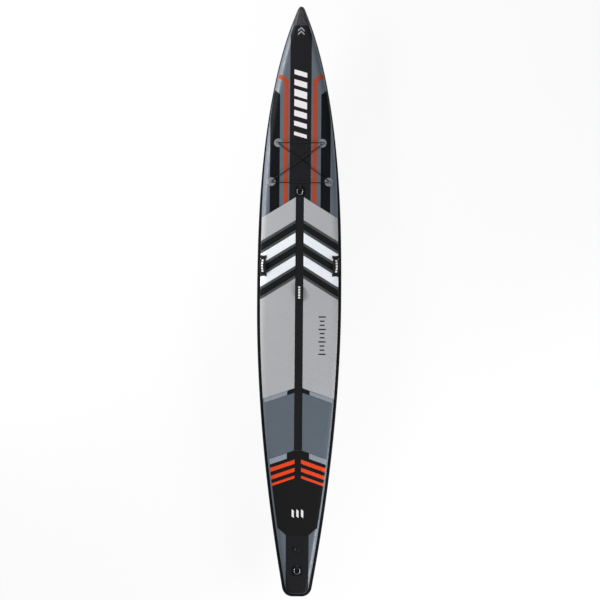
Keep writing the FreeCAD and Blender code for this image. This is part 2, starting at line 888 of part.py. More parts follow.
cord_radius = size.bungee_diameter / 2
eye_bend = size.eye_wire / 2 + size.gap + cord_radius
eye_half = (size.eye_width - size.eye_wire) / 2
patch_top = size.glue + size.patch
foot_low = patch_top + size.gap
foot_top = foot_low + size.eye_foot_thickness
cord_low = foot_top + size.gap + cord_radius
cord_high = cord_low + size.bungee_diameter + 2 * size.gap
eye_places = {
    "front_left": Vector(bungee_front, size.bungee_front_half, cord_high),
    "back_right": Vector(bungee_back, -size.bungee_back_half, cord_high),
    "back_left": Vector(bungee_back, size.bungee_back_half, cord_low),
    "front_right": Vector(bungee_front, -size.bungee_front_half, cord_low),
}
order = list(eye_places)


def flat_unit(vector):
    return Vector(vector.x, vector.y, 0).normalize()


def bungee_turns():
    """The corners of the cord's route, and the way it pulls each eye."""
    spots = {name: Vector(*eye_places[name]) for name in order}
    pulls = {}
    for _ in range(6):
        made = {}
        for i, name in enumerate(order):
            before = flat_unit(spots[order[i - 1]] - spots[name])
            after = flat_unit(spots[order[(i + 1) % 4]] - spots[name])
            pull = flat_unit(before + after)
            half = before.getAngle(after) / 2
            spot = eye_places[name]
            lean = Vector(-spot.z * math.sin(math.radians(deck_slope(spot.x))), 0, 0)
            leg = Vector(spot.x, spot.y, 0) + lean + pull * eye_half
            corner = leg - pull * (eye_bend / math.sin(half))
            made[name] = Vector(corner.x, corner.y, deck_z(spot.x) + spot.z)
            pulls[name] = pull
        spots = made
    return spots, pulls


bungee_spots, bungee_pulls = bungee_turns()


def rounded_route(points, radius):
    """Straight runs joined by tangent arcs of one radius."""
    edges = []
    start = points[0]
    for i in range(1, len(points) - 1):
        before = (points[i - 1] - points[i]).normalize()
        after = (points[i + 1] - points[i]).normalize()
        half = before.getAngle(after) / 2
        back = radius / math.tan(half)
        first = points[i] + before * back
        last = points[i] + after * back
        middle = points[i] + (before + after).normalize() * (radius / math.sin(half) - radius)
        edges += [line(start, first), Part.Arc(first, middle, last).toShape()]
        start = last
        print("bungee turn", i, "radius", round(radius, 2))
    edges.append(line(start, points[-1]))
    return Part.Wire(edges)


bar_from = bungee_spots["front_left"]
bar_to = bungee_spots["front_right"]
bar_way = (bar_to - bar_from).normalize()
bar_middle = (bar_from + bar_to) / 2
end_gap = bar_way * (size.gap / 2)
route_points = [bar_middle - end_gap, *[bungee_spots[name] for name in order], bar_middle + end_gap]
route = rounded_route(route_points, eye_bend)
cord = tube(route, cord_radius)
print("bungee length", round(route.Length), "volume ratio",
      round(cord.Volume / (math.pi * cord_radius ** 2 * route.Length), 4))
keep("bungee_cord", cord)

clamp_start = bar_middle - bar_way * (size.clamp_length / 2)
clamp = Part.makeCylinder(cord_radius + size.clamp_wall, size.clamp_length, clamp_start, bar_way)
keep("bungee_clamp", clamp.cut(
    Part.makeCylinder(cord_radius + size.clamp_gap, size.clamp_length, clamp_start, bar_way)))

patches = []
for side in (1, -1):
    reach = size.bungee_patch_radius + size.overrun
    layer = blank(bungee_front + reach, bungee_back - reach, size.glue, patch_top,
                  size.band_inset + size.gap, side, reach)
    for name in order:
        spot = eye_places[name]
        if spot.y * side > 0:
            patches.append(layer.common(upright_cylinder(spot.x, spot.y, size.bungee_patch_radius)))
keep("bungee_patches", Part.makeCompound(patches))


def bungee_eye(name):
    """Bent wire eye on a foot plate, standing along the cord's pull."""
    top = size.eye_height - size.eye_wire / 2
    spring_line = top - eye_half
    left = Vector(-eye_half, 0, foot_low)
    right = Vector(eye_half, 0, foot_low)
    lift = Vector(0, 0, spring_line - foot_low)
    arc = Part.Arc(left + lift, Vector(0, 0, top), right + lift).toShape()
    wire = Part.Wire([line(left, left + lift), arc, line(right + lift, right)])
    plate = rounded_plan(size.eye_foot_length, size.eye_foot_width, size.eye_wire, foot_low, foot_top)
    eye = tube(wire, size.eye_wire / 2).fuse(plate)
    pull = bungee_pulls[name]
    spot = eye_places[name]
    turn = math.degrees(math.atan2(pull.y, pull.x))
    tilt = Rotation(Vector(0, 1, 0), -deck_slope(spot.x))
    eye.Placement = Placement(Vector(spot.x, spot.y, deck_z(spot.x)), tilt * Rotation(Vector(0, 0, 1), turn))
    return eye


keep("bungee_eyes", Part.makeCompound([bungee_eye(name) for name in order]))

# D-rings: a patch, a webbing loop and a steel ring that hinges in it.

bar_height = size.gap + size.webbing + size.ring_wire / 2
ring_lie = math.degrees(math.asin(size.webbing / (size.ring_length - size.ring_wire)))


def ring_webbing():
    """Webbing loop round the ring's bar, its two ends sewn flat to the patch in front."""
    bore = size.ring_wire / 2 + size.gap
    outside = bore + size.webbing
    half = size.ring_webbing_width / 2
    doubled = 2 * size.webbing
    lean = outside * size.webbing_lean_share
    touch = bar_height + math.sqrt(outside ** 2 - lean ** 2)
    profile = [(0, 0), (size.ring_webbing_tail, 0), (size.ring_webbing_tail, doubled),
               (outside * size.webbing_rise_share, doubled), (lean, touch), (0, bar_height)]
    points = [Vector(x, -half, z) for x, z in profile]
    tab = Part.Face(Part.makePolygon(points + points[:1])).extrude(Vector(0, size.ring_webbing_width, 0))
    axis = Vector(0, -half, bar_height)
    round_it = Part.makeCylinder(outside, size.ring_webbing_width, axis, Vector(0, 1, 0))
    hole = Part.makeCylinder(bore, size.ring_webbing_width, axis, Vector(0, 1, 0))
    return tab.fuse(round_it).cut(hole)


def ring_wire():
    """Closed D of round wire, its straight bar on the Y axis and its bow towards the tail."""
    half = (size.ring_width - size.ring_wire) / 2
    corner = size.ring_corner
    bow = size.ring_length - size.ring_wire - half
    bend = corner * (1 - math.sqrt(0.5))
    spots = {}
    for side in (1, -1):
        spots[side] = [Vector(0, side * (half - corner), 0), Vector(-bend, side * (half - bend), 0),
                       Vector(-corner, side * half, 0), Vector(-bow, side * half, 0)]
    port, star = spots[1], spots[-1]
    edges = [line(star[0], port[0]), Part.Arc(*port[:3]).toShape(), line(port[2], port[3]),
             Part.Arc(port[3], Vector(-bow - half, 0, 0), star[3]).toShape(), line(star[3], star[2]),
             Part.Arc(star[2], star[1], star[0]).toShape()]
    return tube(Part.Wire(edges), size.ring_wire / 2)


for name, place_x in (("centre", centre_ring), ("stern", stern_ring)):
    middle_x = place_x - size.ring_patch_shift
    plan = rounded_plan(size.ring_patch_length, size.ring_patch_width, size.ring_patch_corner,
                        0, size.board_thickness + 2 * size.overrun)
    plan.translate(Vector(middle_x, 0, 0))
    keep(name + "_ring_patch", deck_sheet(size.glue, patch_top).common(plan))
    seat = deck_place(place_x, patch_top + size.gap)
    keep(name + "_ring_webbing", ring_webbing(), seat)
    keep(name + "_ring", ring_wire(),
         seat * Placement(Vector(0, 0, bar_height), Rotation(Vector(0, 1, 0), -ring_lie)))

# Carry handles: moulded ends, a webbing strap between them and a padded grip round the strap.

handle_half = size.handle_length / 2
chord_half = handle_half - size.handle_end_length
strap_low = size.handle_end_height
strap_middle = strap_low + size.handle_strap / 2
arch_radius = (chord_half ** 2 + size.handle_rise ** 2) / (2 * size.handle_rise)
arch_centre = strap_middle + size.handle_rise - arch_radius


def handle_place(side):
    """Frame of a handle: on the stringer in the middle, or square to the shoulder at a side."""
    if not side:
        return Placement(Vector(size.centre_handle, 0, size.board_thickness + stringer_top), Rotation())
    x = size.side_handle
    angle = band_angle(x, size.side_handle_inset)
    tilt = math.atan2(math.cos(angle) / rail_half(x), math.sin(angle) / half_height(x))
    out = (rail_half(x) + size.glue) * math.cos(angle)
    up = (half_height(x) + size.glue) * math.sin(angle)
    lean = Rotation(Vector(1, 0, 0), -side * math.degrees(tilt))
    return Placement(section_place(x, out, up, side, False), lean)


def handle_ends(side):
    """Two moulded ends, flat on top and shaped to the hull underneath."""
    low = -size.overrun / 2 if side else 0
    made = []
    for way in (1, -1):
        end = rounded_plan(size.handle_end_length, size.handle_end_width, size.handle_end_corner, low,
                           size.handle_end_height)
        end.translate(Vector(way * (handle_half - size.handle_end_length / 2), 0, 0))
        end.Placement = handle_place(side) * end.Placement
        made.append(end)
    ends = Part.makeCompound(made)
    if not side:
        return ends
    reach = handle_half + size.gap
    ahead = size.side_handle + reach
    behind = size.side_handle - reach
    hull = blank(ahead, behind, -size.overrun, size.glue, size.skin, side, size.board_width / 4)
    return Part.makeCompound([end.cut(hull) for end in made])


def ring_slice(low, high, width):
    """Part of the arch between two radii, across the given width."""
    axis = Vector(0, -width / 2, arch_centre)
    outer = Part.makeCylinder(high, width, axis, Vector(0, 1, 0))
    return outer.cut(Part.makeCylinder(low, width, axis, Vector(0, 1, 0)))


def handle_strap():
    half = size.handle_strap / 2
    width = size.handle_strap_width
    arch = ring_slice(arch_radius - half, arch_radius + half, width)
    above = box(-handle_half, handle_half, -width / 2, width / 2, strap_low, strap_low + 2 * size.overrun)
    strap = arch.common(above)
    for way in (1, -1):
        inner = chord_half - size.handle_strap
        outer = handle_half - size.handle_strap
        ends = sorted((way * inner, way * outer))
        strap = strap.fuse(box(*ends, -width / 2, width / 2, strap_low, strap_low + size.handle_strap))
    return strap.removeSplitter()


def handle_grip():
    half = size.grip_thickness / 2
    width = size.grip_width
    reach = arch_radius + size.overrun
    angle = math.radians(size.grip_angle / 2)
    tip = Vector(0, -width / 2, arch_centre)
    side = Vector(reach * math.sin(angle), 0, reach * math.cos(angle))
    other = Vector(-side.x, 0, side.z)
    wedge = Part.Face(Part.makePolygon([tip, tip + side, tip + other, tip])).extrude(Vector(0, width, 0))
    body = ring_slice(arch_radius - half, arch_radius + half, width).common(wedge)
    body = body.makeFillet(size.grip_edge, body.Edges)
    slot_half = size.handle_strap / 2 + size.grip_slot_gap
    return body.cut(ring_slice(arch_radius - slot_half, arch_radius + slot_half,
                               size.handle_strap_width + 2 * size.grip_slot_gap))


for name, side in (("centre", 0), ("left", 1), ("right", -1)):
    keep(name + "_handle_ends", handle_ends(side))
    keep(name + "_handle_strap", handle_strap(), handle_place(side))
    keep(name + "_handle_grip", handle_grip(), handle_place(side))

# Inflation valve on the tail; heights are from the deck.

on_deck = deck_place(valve_place, 0)
flange_top = "(sizes.valve_gasket + sizes.valve_flange)"
seat_top = "-sizes.valve_seat_depth"
seat_low = "(-sizes.valve_seat_depth - sizes.valve_web)"
stem_hole = "(sizes.stem_radius + sizes.stem_gap)"
valve = turned("valve_body", [
    ("sizes.valve_mouth_radius", flange_top),
    ("sizes.valve_flange_radius", flange_top),
    ("sizes.valve_flange_radius", "sizes.valve_gasket"),
    ("sizes.valve_barrel_radius", "sizes.valve_gasket"),
    ("sizes.valve_barrel_radius", "-sizes.valve_barrel_depth"),
    ("sizes.valve_mouth_radius", "-sizes.valve_barrel_depth"),
    ("sizes.valve_mouth_radius", seat_low),
    (stem_hole, seat_low),
    (stem_hole, seat_top),
    ("sizes.valve_mouth_radius", seat_top),
], on_deck)
air = new_sketch(valve, "XY_Plane", "air_hole_plan")
circle(air, "sizes.air_hole_circle", "0 * sizes.air_hole_circle", "sizes.air_hole_radius")
air_hole = pocketed(valve, air, "air_hole", "4 * sizes.valve_barrel_depth")
doc.recompute()
spread = valve.newObject("PartDesign::PolarPattern", "air_holes")
spread.Originals = [air_hole]
spread.Axis = (air, ["N_Axis"])
spread.Angle = 360
spread.Occurrences = AIR_HOLES
valve.Tip = spread
post = new_sketch(valve, "XY_Plane", "tether_post_plan", size.valve_gasket + size.valve_flange)
circle(post, "-sizes.tether_post_place", "0 * sizes.tether_post_place", "sizes.tether_post_radius")
post_pad = valve.newObject("PartDesign::Pad", "tether_post")
post_pad.Profile = post
post_pad.setExpression("Length", "sizes.valve_cap")
valve.Tip = post_pad

turned("valve_gasket", [
    ("(sizes.valve_barrel_radius + sizes.gap)", "0 * sizes.gap"),
    ("sizes.valve_flange_radius", "0 * sizes.gap"),
    ("sizes.valve_flange_radius", "sizes.valve_gasket"),
    ("(sizes.valve_barrel_radius + sizes.gap)", "sizes.valve_gasket"),
], on_deck)
turned("valve_nut", [
    ("(sizes.valve_barrel_radius + sizes.stem_gap)", "-sizes.skin"),
    ("sizes.valve_nut_radius", "-sizes.skin"),
    ("sizes.valve_nut_radius", "(-sizes.skin - sizes.valve_nut)"),
    ("(sizes.valve_barrel_radius + sizes.stem_gap)", "(-sizes.skin - sizes.valve_nut)"),
], on_deck)
button_low = "(-sizes.valve_seat_depth + sizes.stem_gap + sizes.spring_length + sizes.stem_gap)"
flap_top = "(-sizes.valve_seat_depth - sizes.valve_web - sizes.stem_gap)"
clip_top = "(-sizes.valve_seat_depth - sizes.valve_web - 2 * sizes.stem_gap - sizes.diaphragm)"
turned("valve_stem", [
    ("0 * sizes.gap", "(" + clip_top + " - 2 * sizes.clip)"),
    ("sizes.stem_radius", "(" + clip_top + " - 2 * sizes.clip)"),
    ("sizes.stem_radius", button_low),
    ("sizes.stem_button_radius", button_low),
    ("sizes.stem_button_radius", "(" + button_low + " + sizes.stem_button)"),
    ("0 * sizes.gap", "(" + button_low + " + sizes.stem_button)"),
], on_deck)
turned("valve_diaphragm", [
    ("(sizes.stem_radius + sizes.stem_gap)", "(" + flap_top + " - sizes.diaphragm)"),
    ("sizes.diaphragm_radius", "(" + flap_top + " - sizes.diaphragm)"),
    ("sizes.diaphragm_radius", flap_top),
    ("(sizes.stem_radius + sizes.stem_gap)", flap_top),
], on_deck)
turned("valve_clip", [
    ("(sizes.stem_radius + sizes.stem_gap)", "(" + clip_top + " - sizes.clip)"),
    ("sizes.clip_radius", "(" + clip_top + " - sizes.clip)"),
    ("sizes.clip_radius", clip_top),
    ("(sizes.stem_radius + sizes.stem_gap)", clip_top),
], on_deck)

spring_low = -size.valve_seat_depth + size.stem_gap
coil_height = size.spring_length - size.spring_wire
helix = Part.makeHelix(coil_height / SPRING_TURNS, coil_height, size.spring_radius)
spring_start = Vector(size.spring_radius, 0, 0)
spring_ring = Part.Wire(Part.makeCircle(size.spring_wire / 2, spring_start, Vector(0, 1, 0)))
coil = Part.Wire(helix).makePipeShell([spring_ring], True, True)
coil.translate(Vector(0, 0, spring_low + size.spring_wire / 2))
keep("valve_spring", coil, on_deck)

cap_low = "(sizes.valve_gasket + sizes.valve_flange + sizes.gap)"
plug_radius = "(sizes.valve_mouth_radius - sizes.valve_plug_gap)"
groove_radius = "(sizes.valve_mouth_radius - sizes.valve_plug_gap - sizes.cap_seal)"
groove_low = "(" + cap_low + " - sizes.valve_plug / 2 - sizes.cap_seal / 2 - sizes.stem_gap)"
groove_high = "(" + cap_low + " - sizes.valve_plug / 2 + sizes.cap_seal / 2 + sizes.stem_gap)"
cap = turned("valve_cap", [
    ("0 * sizes.gap", "(" + cap_low + " - sizes.valve_plug)"),
    (plug_radius, "(" + cap_low + " - sizes.valve_plug)"),
    (plug_radius, groove_low),
    (groove_radius, groove_low),
    (groove_radius, groove_high),
    (plug_radius, groove_high),
    (plug_radius, cap_low),
    ("sizes.valve_cap_radius", cap_low),
    ("sizes.valve_cap_radius", "(" + cap_low + " + sizes.valve_cap)"),
    ("0 * sizes.gap", "(" + cap_low + " + sizes.valve_cap)"),
], on_deck)
grip_plan = new_sketch(cap, "XZ_Plane", "cap_bar_profile")
bar_foot = "(" + cap_low + " + sizes.valve_cap / 2)"
bar_top = "(" + cap_low + " + sizes.valve_cap + sizes.cap_bar_height)"
polygon(grip_plan, [
    ("-sizes.cap_bar_foot_share * sizes.valve_cap_radius", bar_foot),
    ("sizes.cap_bar_foot_share * sizes.valve_cap_radius", bar_foot),
    ("sizes.cap_bar_top_share * sizes.valve_cap_radius", bar_top),
    ("-sizes.cap_bar_top_share * sizes.valve_cap_radius", bar_top),
])
cap.Tip = padded(cap, grip_plan, "cap_bar", "sizes.cap_bar")

seal_middle = size.valve_mouth_radius - size.valve_plug_gap - size.cap_seal / 2 + size.stem_gap
seal_height = size.valve_gasket + size.valve_flange + size.gap - size.valve_plug / 2
seal = Part.makeTorus(seal_middle, size.cap_seal / 2)
seal.translate(Vector(0, 0, seal_height))
keep("cap_seal", seal, on_deck)


def cap_tether():
    """Short flat strap from the cap's rim to the post on the flange."""
    low = size.valve_gasket + size.valve_flange + size.gap
    inner = size.valve_cap_radius + size.gap
    outer = size.tether_post_place + size.tether_width / 2
    half = size.tether_width / 2
    strap = box(-outer, -inner + size.tether, -half, half, low, low + size.tether)
    round_cap = Part.makeCylinder(inner, size.tether, Vector(0, 0, low))
    post = Vector(-size.tether_post_place, 0, low)
    hole = Part.makeCylinder(size.tether_post_radius + size.gap, size.tether, post)
    return strap.cut(round_cap).cut(hole)


keep("cap_tether", cap_tether(), on_deck)

# Fin box, and the fin that slides in its slot; heights are from the flat bottom, downwards negative.

fin_level = -(patch_top + size.gap)
under_hull = Placement(Vector(fin_place, 0, fin_level), Rotation())
fin_box = new_body("fin_box")
box_side = new_sketch(fin_box, "XZ_Plane", "fin_box_side")
polygon(box_side, [
    ("-sizes.fin_box_length / 2", "0 * sizes.gap"),
    ("sizes.fin_box_length / 2", "0 * sizes.gap"),
    ("(sizes.fin_box_length / 2 - sizes.fin_box_slope)", "-sizes.fin_box_height"),
    ("(-sizes.fin_box_length / 2 + sizes.fin_box_slope)", "-sizes.fin_box_height"),
])
padded(fin_box, box_side, "fin_box_block", "sizes.fin_box_width")
slot = new_sketch(fin_box, "YZ_Plane", "fin_slot_profile")
slot_half = "sizes.fin_slot_width / 2"
groove_half = "(sizes.fin_slot_width / 2 + sizes.fin_groove_depth)"
slot_roof = "(sizes.fin_slot_depth - sizes.fin_box_height)"
groove_floor = "(sizes.fin_groove_cover - sizes.fin_box_height)"
groove_roof = "(sizes.fin_groove_cover + sizes.fin_groove_height - sizes.fin_box_height)"
mouth = "(-sizes.fin_box_height - sizes.gap)"
half_slot = [(slot_half, mouth), (slot_half, groove_floor), (groove_half, groove_floor),
             (groove_half, groove_roof), (slot_half, groove_roof), (slot_half, slot_roof)]
polygon(slot, half_slot + [("-" + across, up) for across, up in reversed(half_slot)])
pocketed(fin_box, slot, "fin_slot", "sizes.fin_slot_length")
entry = new_sketch(fin_box, "YZ_Plane", "fin_entry_profile")
polygon(entry, [(groove_half, mouth), (groove_half, groove_roof), ("-" + groove_half, groove_roof),
                ("-" + groove_half, mouth)])
fin_box.Tip = pocketed(fin_box, entry, "fin_entry", "sizes.fin_entry")
fin_box.Placement = under_hull

fin_patch_plan = rounded_plan(size.fin_box_length + 2 * size.fin_patch_margin,
                              size.fin_box_width + 2 * size.fin_patch_margin, size.fin_patch_margin,
                              -patch_top, -size.glue)
keep("fin_box_patch", fin_patch_plan, Placement(Vector(fin_place, 0, 0), Rotation()))

box_mouth = -size.fin_box_height
tab_half = size.fin_slot_width / 2 - size.fin_tab_gap
tab_front = (size.fin_tab_length + size.fin_tongue) / 2 - size.fin_tongue
tab_back = tab_front - size.fin_tab_length
groove_middle = box_mouth + size.fin_groove_cover + size.fin_groove_height / 2
pin_x = tab_back + size.fin_pin_inset
screw_x = tab_front + size.fin_tongue / 2


def fin_shape():
    """Raked fin with a tab for the slot, a hole for the roller pin and a tongue for the screw."""
    tab = box(tab_back, tab_front, -tab_half, tab_half, box_mouth, box_mouth + size.fin_tab_height)
    tongue = box(tab_front, tab_front + size.fin_tongue, -tab_half, tab_half, box_mouth,
                 box_mouth + size.fin_tongue_thickness)
    root = box_mouth - size.gap
    tip_z = root - size.fin_depth
    lead = Vector(tab_back + size.fin_base, 0, root)
    trail = Vector(tab_back, 0, root)
    tip_back = Vector(tab_back - size.fin_rake, 0, tip_z + size.fin_tip_length * size.fin_tip_drop_share)
    tip_front = tip_back + Vector(size.fin_tip_length, 0, 0)
    tip_end = Vector(tip_back.x + size.fin_tip_length / 2, 0, tip_z)
    belly = size.fin_rake * size.fin_belly_share
    lead_middle = (lead + tip_front) / 2 + Vector(belly, 0, -size.fin_rake * size.fin_lead_belly_share)
    trail_middle = (trail + tip_back) / 2 + Vector(belly, 0, -size.fin_rake * size.fin_trail_belly_share)
    outline = Part.BSplineCurve()
    outline.interpolate([lead, lead_middle, tip_front, tip_end, tip_back, trail_middle, trail])
    face = Part.Face(Part.Wire([outline.toShape(), line(trail, lead)]))
    face.translate(Vector(0, -size.fin_blade / 2, 0))
    blade = face.extrude(Vector(0, size.fin_blade, 0))
    rim = [edge for edge in blade.Edges if isinstance(edge.Curve, Part.BSplineCurve)]
    blade = blade.makeFillet(size.fin_edge, rim)
    neck = box(tab_back, tab_front, -size.fin_blade / 2, size.fin_blade / 2, root - size.gap, box_mouth)
    made = tab.fuse([tongue, blade, neck]).removeSplitter()
    across = Vector(0, 1, 0)
    pin_hole = Part.makeCylinder(size.fin_pin_diameter / 2 + size.stem_gap, 2 * tab_half,
                                 Vector(pin_x, -tab_half, groove_middle), across)
    screw_hole = Part.makeCylinder(size.fin_screw_radius + size.stem_gap, size.fin_tongue,
                                   Vector(screw_x, 0, box_mouth - size.gap))
    return made.cut(pin_hole).cut(screw_hole)


keep("fin", fin_shape(), under_hull)
pin_length = size.fin_slot_width + 2 * size.fin_groove_depth - 2 * size.fin_tab_gap
pin_end = Vector(pin_x, -pin_length / 2, groove_middle)
keep("fin_roller_pin", Part.makeCylinder(size.fin_pin_diameter / 2, pin_length, pin_end, Vector(0, 1, 0)),
     under_hull)
plate_low = groove_middle - size.fin_plate / 2
plate = box(screw_x - size.fin_plate_length / 2, screw_x + size.fin_plate_length / 2, -pin_length / 2,
            pin_length / 2, plate_low, plate_low + size.fin_plate)
screw_low = box_mouth - size.gap / 2
keep("fin_plate", plate.cut(Part.makeCylinder(size.fin_screw_radius + size.stem_gap, size.overrun,
                                              Vector(screw_x, 0, box_mouth))), under_hull)
screw_head = Part.makeCylinder(size.fin_screw_head_radius, size.fin_screw_head,
                               Vector(screw_x, 0, screw_low - size.fin_screw_head))
screw = Part.makeCylinder(size.fin_screw_radius, size.fin_screw_length, Vector(screw_x, 0, screw_low))
keep("fin_screw", screw.fuse(screw_head), under_hull)

# Check every object, then write each sub-part to its own file.

doc.recompute()
for item in doc.Objects:
    if "Invalid" in item.State or "Error" in item.State:
        raise RuntimeError(f"{item.Label} failed: {item.State}")
for piece in pieces:
    if piece.Shape.isNull() or not piece.Shape.isValid():
        raise RuntimeError(f"{piece.Label} has no valid shape")
os.makedirs("parts", exist_ok=True)
for piece in pieces:
    piece.Shape.exportStep(f"parts/{piece.Label}.step")
print(len(pieces), "sub-parts written")
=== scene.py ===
import json
import math

import bmesh
import bpy
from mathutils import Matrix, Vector


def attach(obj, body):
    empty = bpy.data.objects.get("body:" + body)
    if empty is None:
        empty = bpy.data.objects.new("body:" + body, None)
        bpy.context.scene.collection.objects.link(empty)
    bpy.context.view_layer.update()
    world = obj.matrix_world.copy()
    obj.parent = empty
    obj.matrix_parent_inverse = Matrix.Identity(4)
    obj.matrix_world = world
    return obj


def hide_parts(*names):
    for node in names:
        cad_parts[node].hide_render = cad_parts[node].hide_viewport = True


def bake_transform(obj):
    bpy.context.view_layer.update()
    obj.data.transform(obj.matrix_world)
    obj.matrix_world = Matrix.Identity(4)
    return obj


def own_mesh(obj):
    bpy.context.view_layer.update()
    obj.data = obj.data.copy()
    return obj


# A stand-up paddleboard seen from straight above. Meshes are worked out in millimetres and stored in metres.

MM = 0.001
PHOTO_SIZE = 600

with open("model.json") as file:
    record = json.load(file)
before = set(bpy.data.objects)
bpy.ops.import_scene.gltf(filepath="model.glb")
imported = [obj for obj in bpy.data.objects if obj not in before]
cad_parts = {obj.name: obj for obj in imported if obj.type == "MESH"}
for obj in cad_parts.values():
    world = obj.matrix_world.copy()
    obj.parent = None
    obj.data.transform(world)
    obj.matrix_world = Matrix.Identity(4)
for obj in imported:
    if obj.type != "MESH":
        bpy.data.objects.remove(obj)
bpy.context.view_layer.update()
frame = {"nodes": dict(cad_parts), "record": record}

# Hull sizes.

LENGTH = 4267
WIDTH = 607
THICKNESS = 150
WIDEST = -17
NOSE_CURVE_SHARE = 2.58
NOSE_POWER_SHARE = 0.8
TAIL_DROP_SHARE = 0.69
TAIL_CURVE_SHARE = 1.865
TIP_RADIUS = 14
TIP_FADE = 30
NOSE_RISE = 190
NOSE_THICKNESS = 110
BOTTOM_ARC = 500
DECK_ARC = 880
RAIL_DEPTH = 60
RAIL_SLIM_SHARE = 0.62
CORNER_INNER = 26
CAP_PLUG = 114
CAP_LENGTH = 137
SKIN = 1.2
RAIL_WALL = 2.7
GLUE = 0.3
PATCH = 1.2
NOSE = LENGTH / 2
TAIL = -LENGTH / 2
DECK_RISE = NOSE_RISE + NOSE_THICKNESS - THICKNESS
PATCH_TOP = GLUE + PATCH
BAND_INSET = 20
BAND_NOSE_INSET = 5.5
BAND_SLIM_START = 400
BAND_SLIM_END = 1750


def half_width(x):
    """Half the board's width at a station."""
    if x < WIDEST:
        run = (WIDEST - x) / (WIDEST - TAIL)
        return WIDTH / 2 * (1 - TAIL_DROP_SHARE * run ** TAIL_CURVE_SHARE)
    run = (x - WIDEST) / (NOSE - WIDEST)
    left = max(0, NOSE - x)
    slim = WIDTH / 2 * max(0, 1 - run ** NOSE_CURVE_SHARE) ** NOSE_POWER_SHARE
    blunt = 2 * TIP_RADIUS * left * math.exp(-left / TIP_FADE)
    return math.sqrt(slim ** 2 + blunt)


def narrowing(x):
    """Angle by which the widest line closes in towards the tail; zero in the front half."""
    if x >= WIDEST:
        return 0
    reach = WIDEST - TAIL
    run = (WIDEST - x) / reach
    slope = TAIL_DROP_SHARE * TAIL_CURVE_SHARE * run ** (TAIL_CURVE_SHARE - 1)
    return math.atan(WIDTH / 2 * slope / reach)


def arc_rise(x, start, total):
    if x <= start:
        return 0
    run = NOSE - start
    radius = (run ** 2 + total ** 2) / (2 * total)
    return radius - math.sqrt(radius ** 2 - (x - start) ** 2)


def bottom_z(x):
    return arc_rise(x, BOTTOM_ARC, NOSE_RISE)


def deck_z(x):
    return THICKNESS + arc_rise(x, DECK_ARC, DECK_RISE)


def deck_slope(x):
    """Angle at which the deck climbs towards the nose."""
    run = NOSE - DECK_ARC
    radius = (run ** 2 + DECK_RISE ** 2) / (2 * DECK_RISE)
    return math.asin(max(0, x - DECK_ARC) / radius)


def rail_half(x):
    """How far in from the widest line the rail's rounding starts."""
    return RAIL_DEPTH * math.tanh(RAIL_SLIM_SHARE * half_width(x) / RAIL_DEPTH)


def tail_corner():
    """Station where the rail turns into the transom, and the corner's centre and radius."""
    x = TAIL + rail_half(TAIL)
    for _ in range(4):
        radius = rail_half(x) + CORNER_INNER
        x = TAIL + radius * (1 - math.sin(narrowing(x)))
    lean = narrowing(x)
    return x, Vector((x + radius * math.sin(lean), half_width(x) - radius * math.cos(lean))), radius


corner_x, corner_centre, corner_radius = tail_corner()


def over_rail(x, y):
    """How far a point of the plan lies out over the rounding of the rail, the tail corner or the transom."""
    out = rail_half(x) - (half_width(x) - abs(y)) * math.cos(narrowing(x))
    if x > corner_centre.x:
        return out
    spot = Vector((x, abs(y))) - corner_centre
    return max(out, (spot.length if spot.y > 0 else -spot.x) - CORNER_INNER)


def hull_height(x, y):
    """Height of the deck or the rail's shoulder over a point of the plan."""
    middle = (bottom_z(x) + deck_z(x)) / 2
    high = (deck_z(x) - bottom_z(x)) / 2
    share = min(max(over_rail(x, y) / rail_half(max(x, corner_x)), 0), 0.995)
    return middle + high * math.sqrt(1 - share ** 2)


def hull_top(x, y, lift=0):
    """Point on the deck or the shoulder, lifted square to the surface."""
    step = 0.5
    lean_x = (hull_height(x + step, y) - hull_height(x - step, y)) / (2 * step)
    lean_y = (hull_height(x, y + step) - hull_height(x, y - step)) / (2 * step)
    return Vector((x, y, hull_height(x, y))) + Vector((-lean_x, -lean_y, 1)).normalized() * lift


# Colours are written as the eye sees them, 0 to 255, and stored as light.


def light(red, green, blue):
    def linear(value):
        value /= 255
        return value / 12.92 if value <= 0.04045 else ((value + 0.055) / 1.055) ** 2.4
    return (linear(red), linear(green), linear(blue), 1)


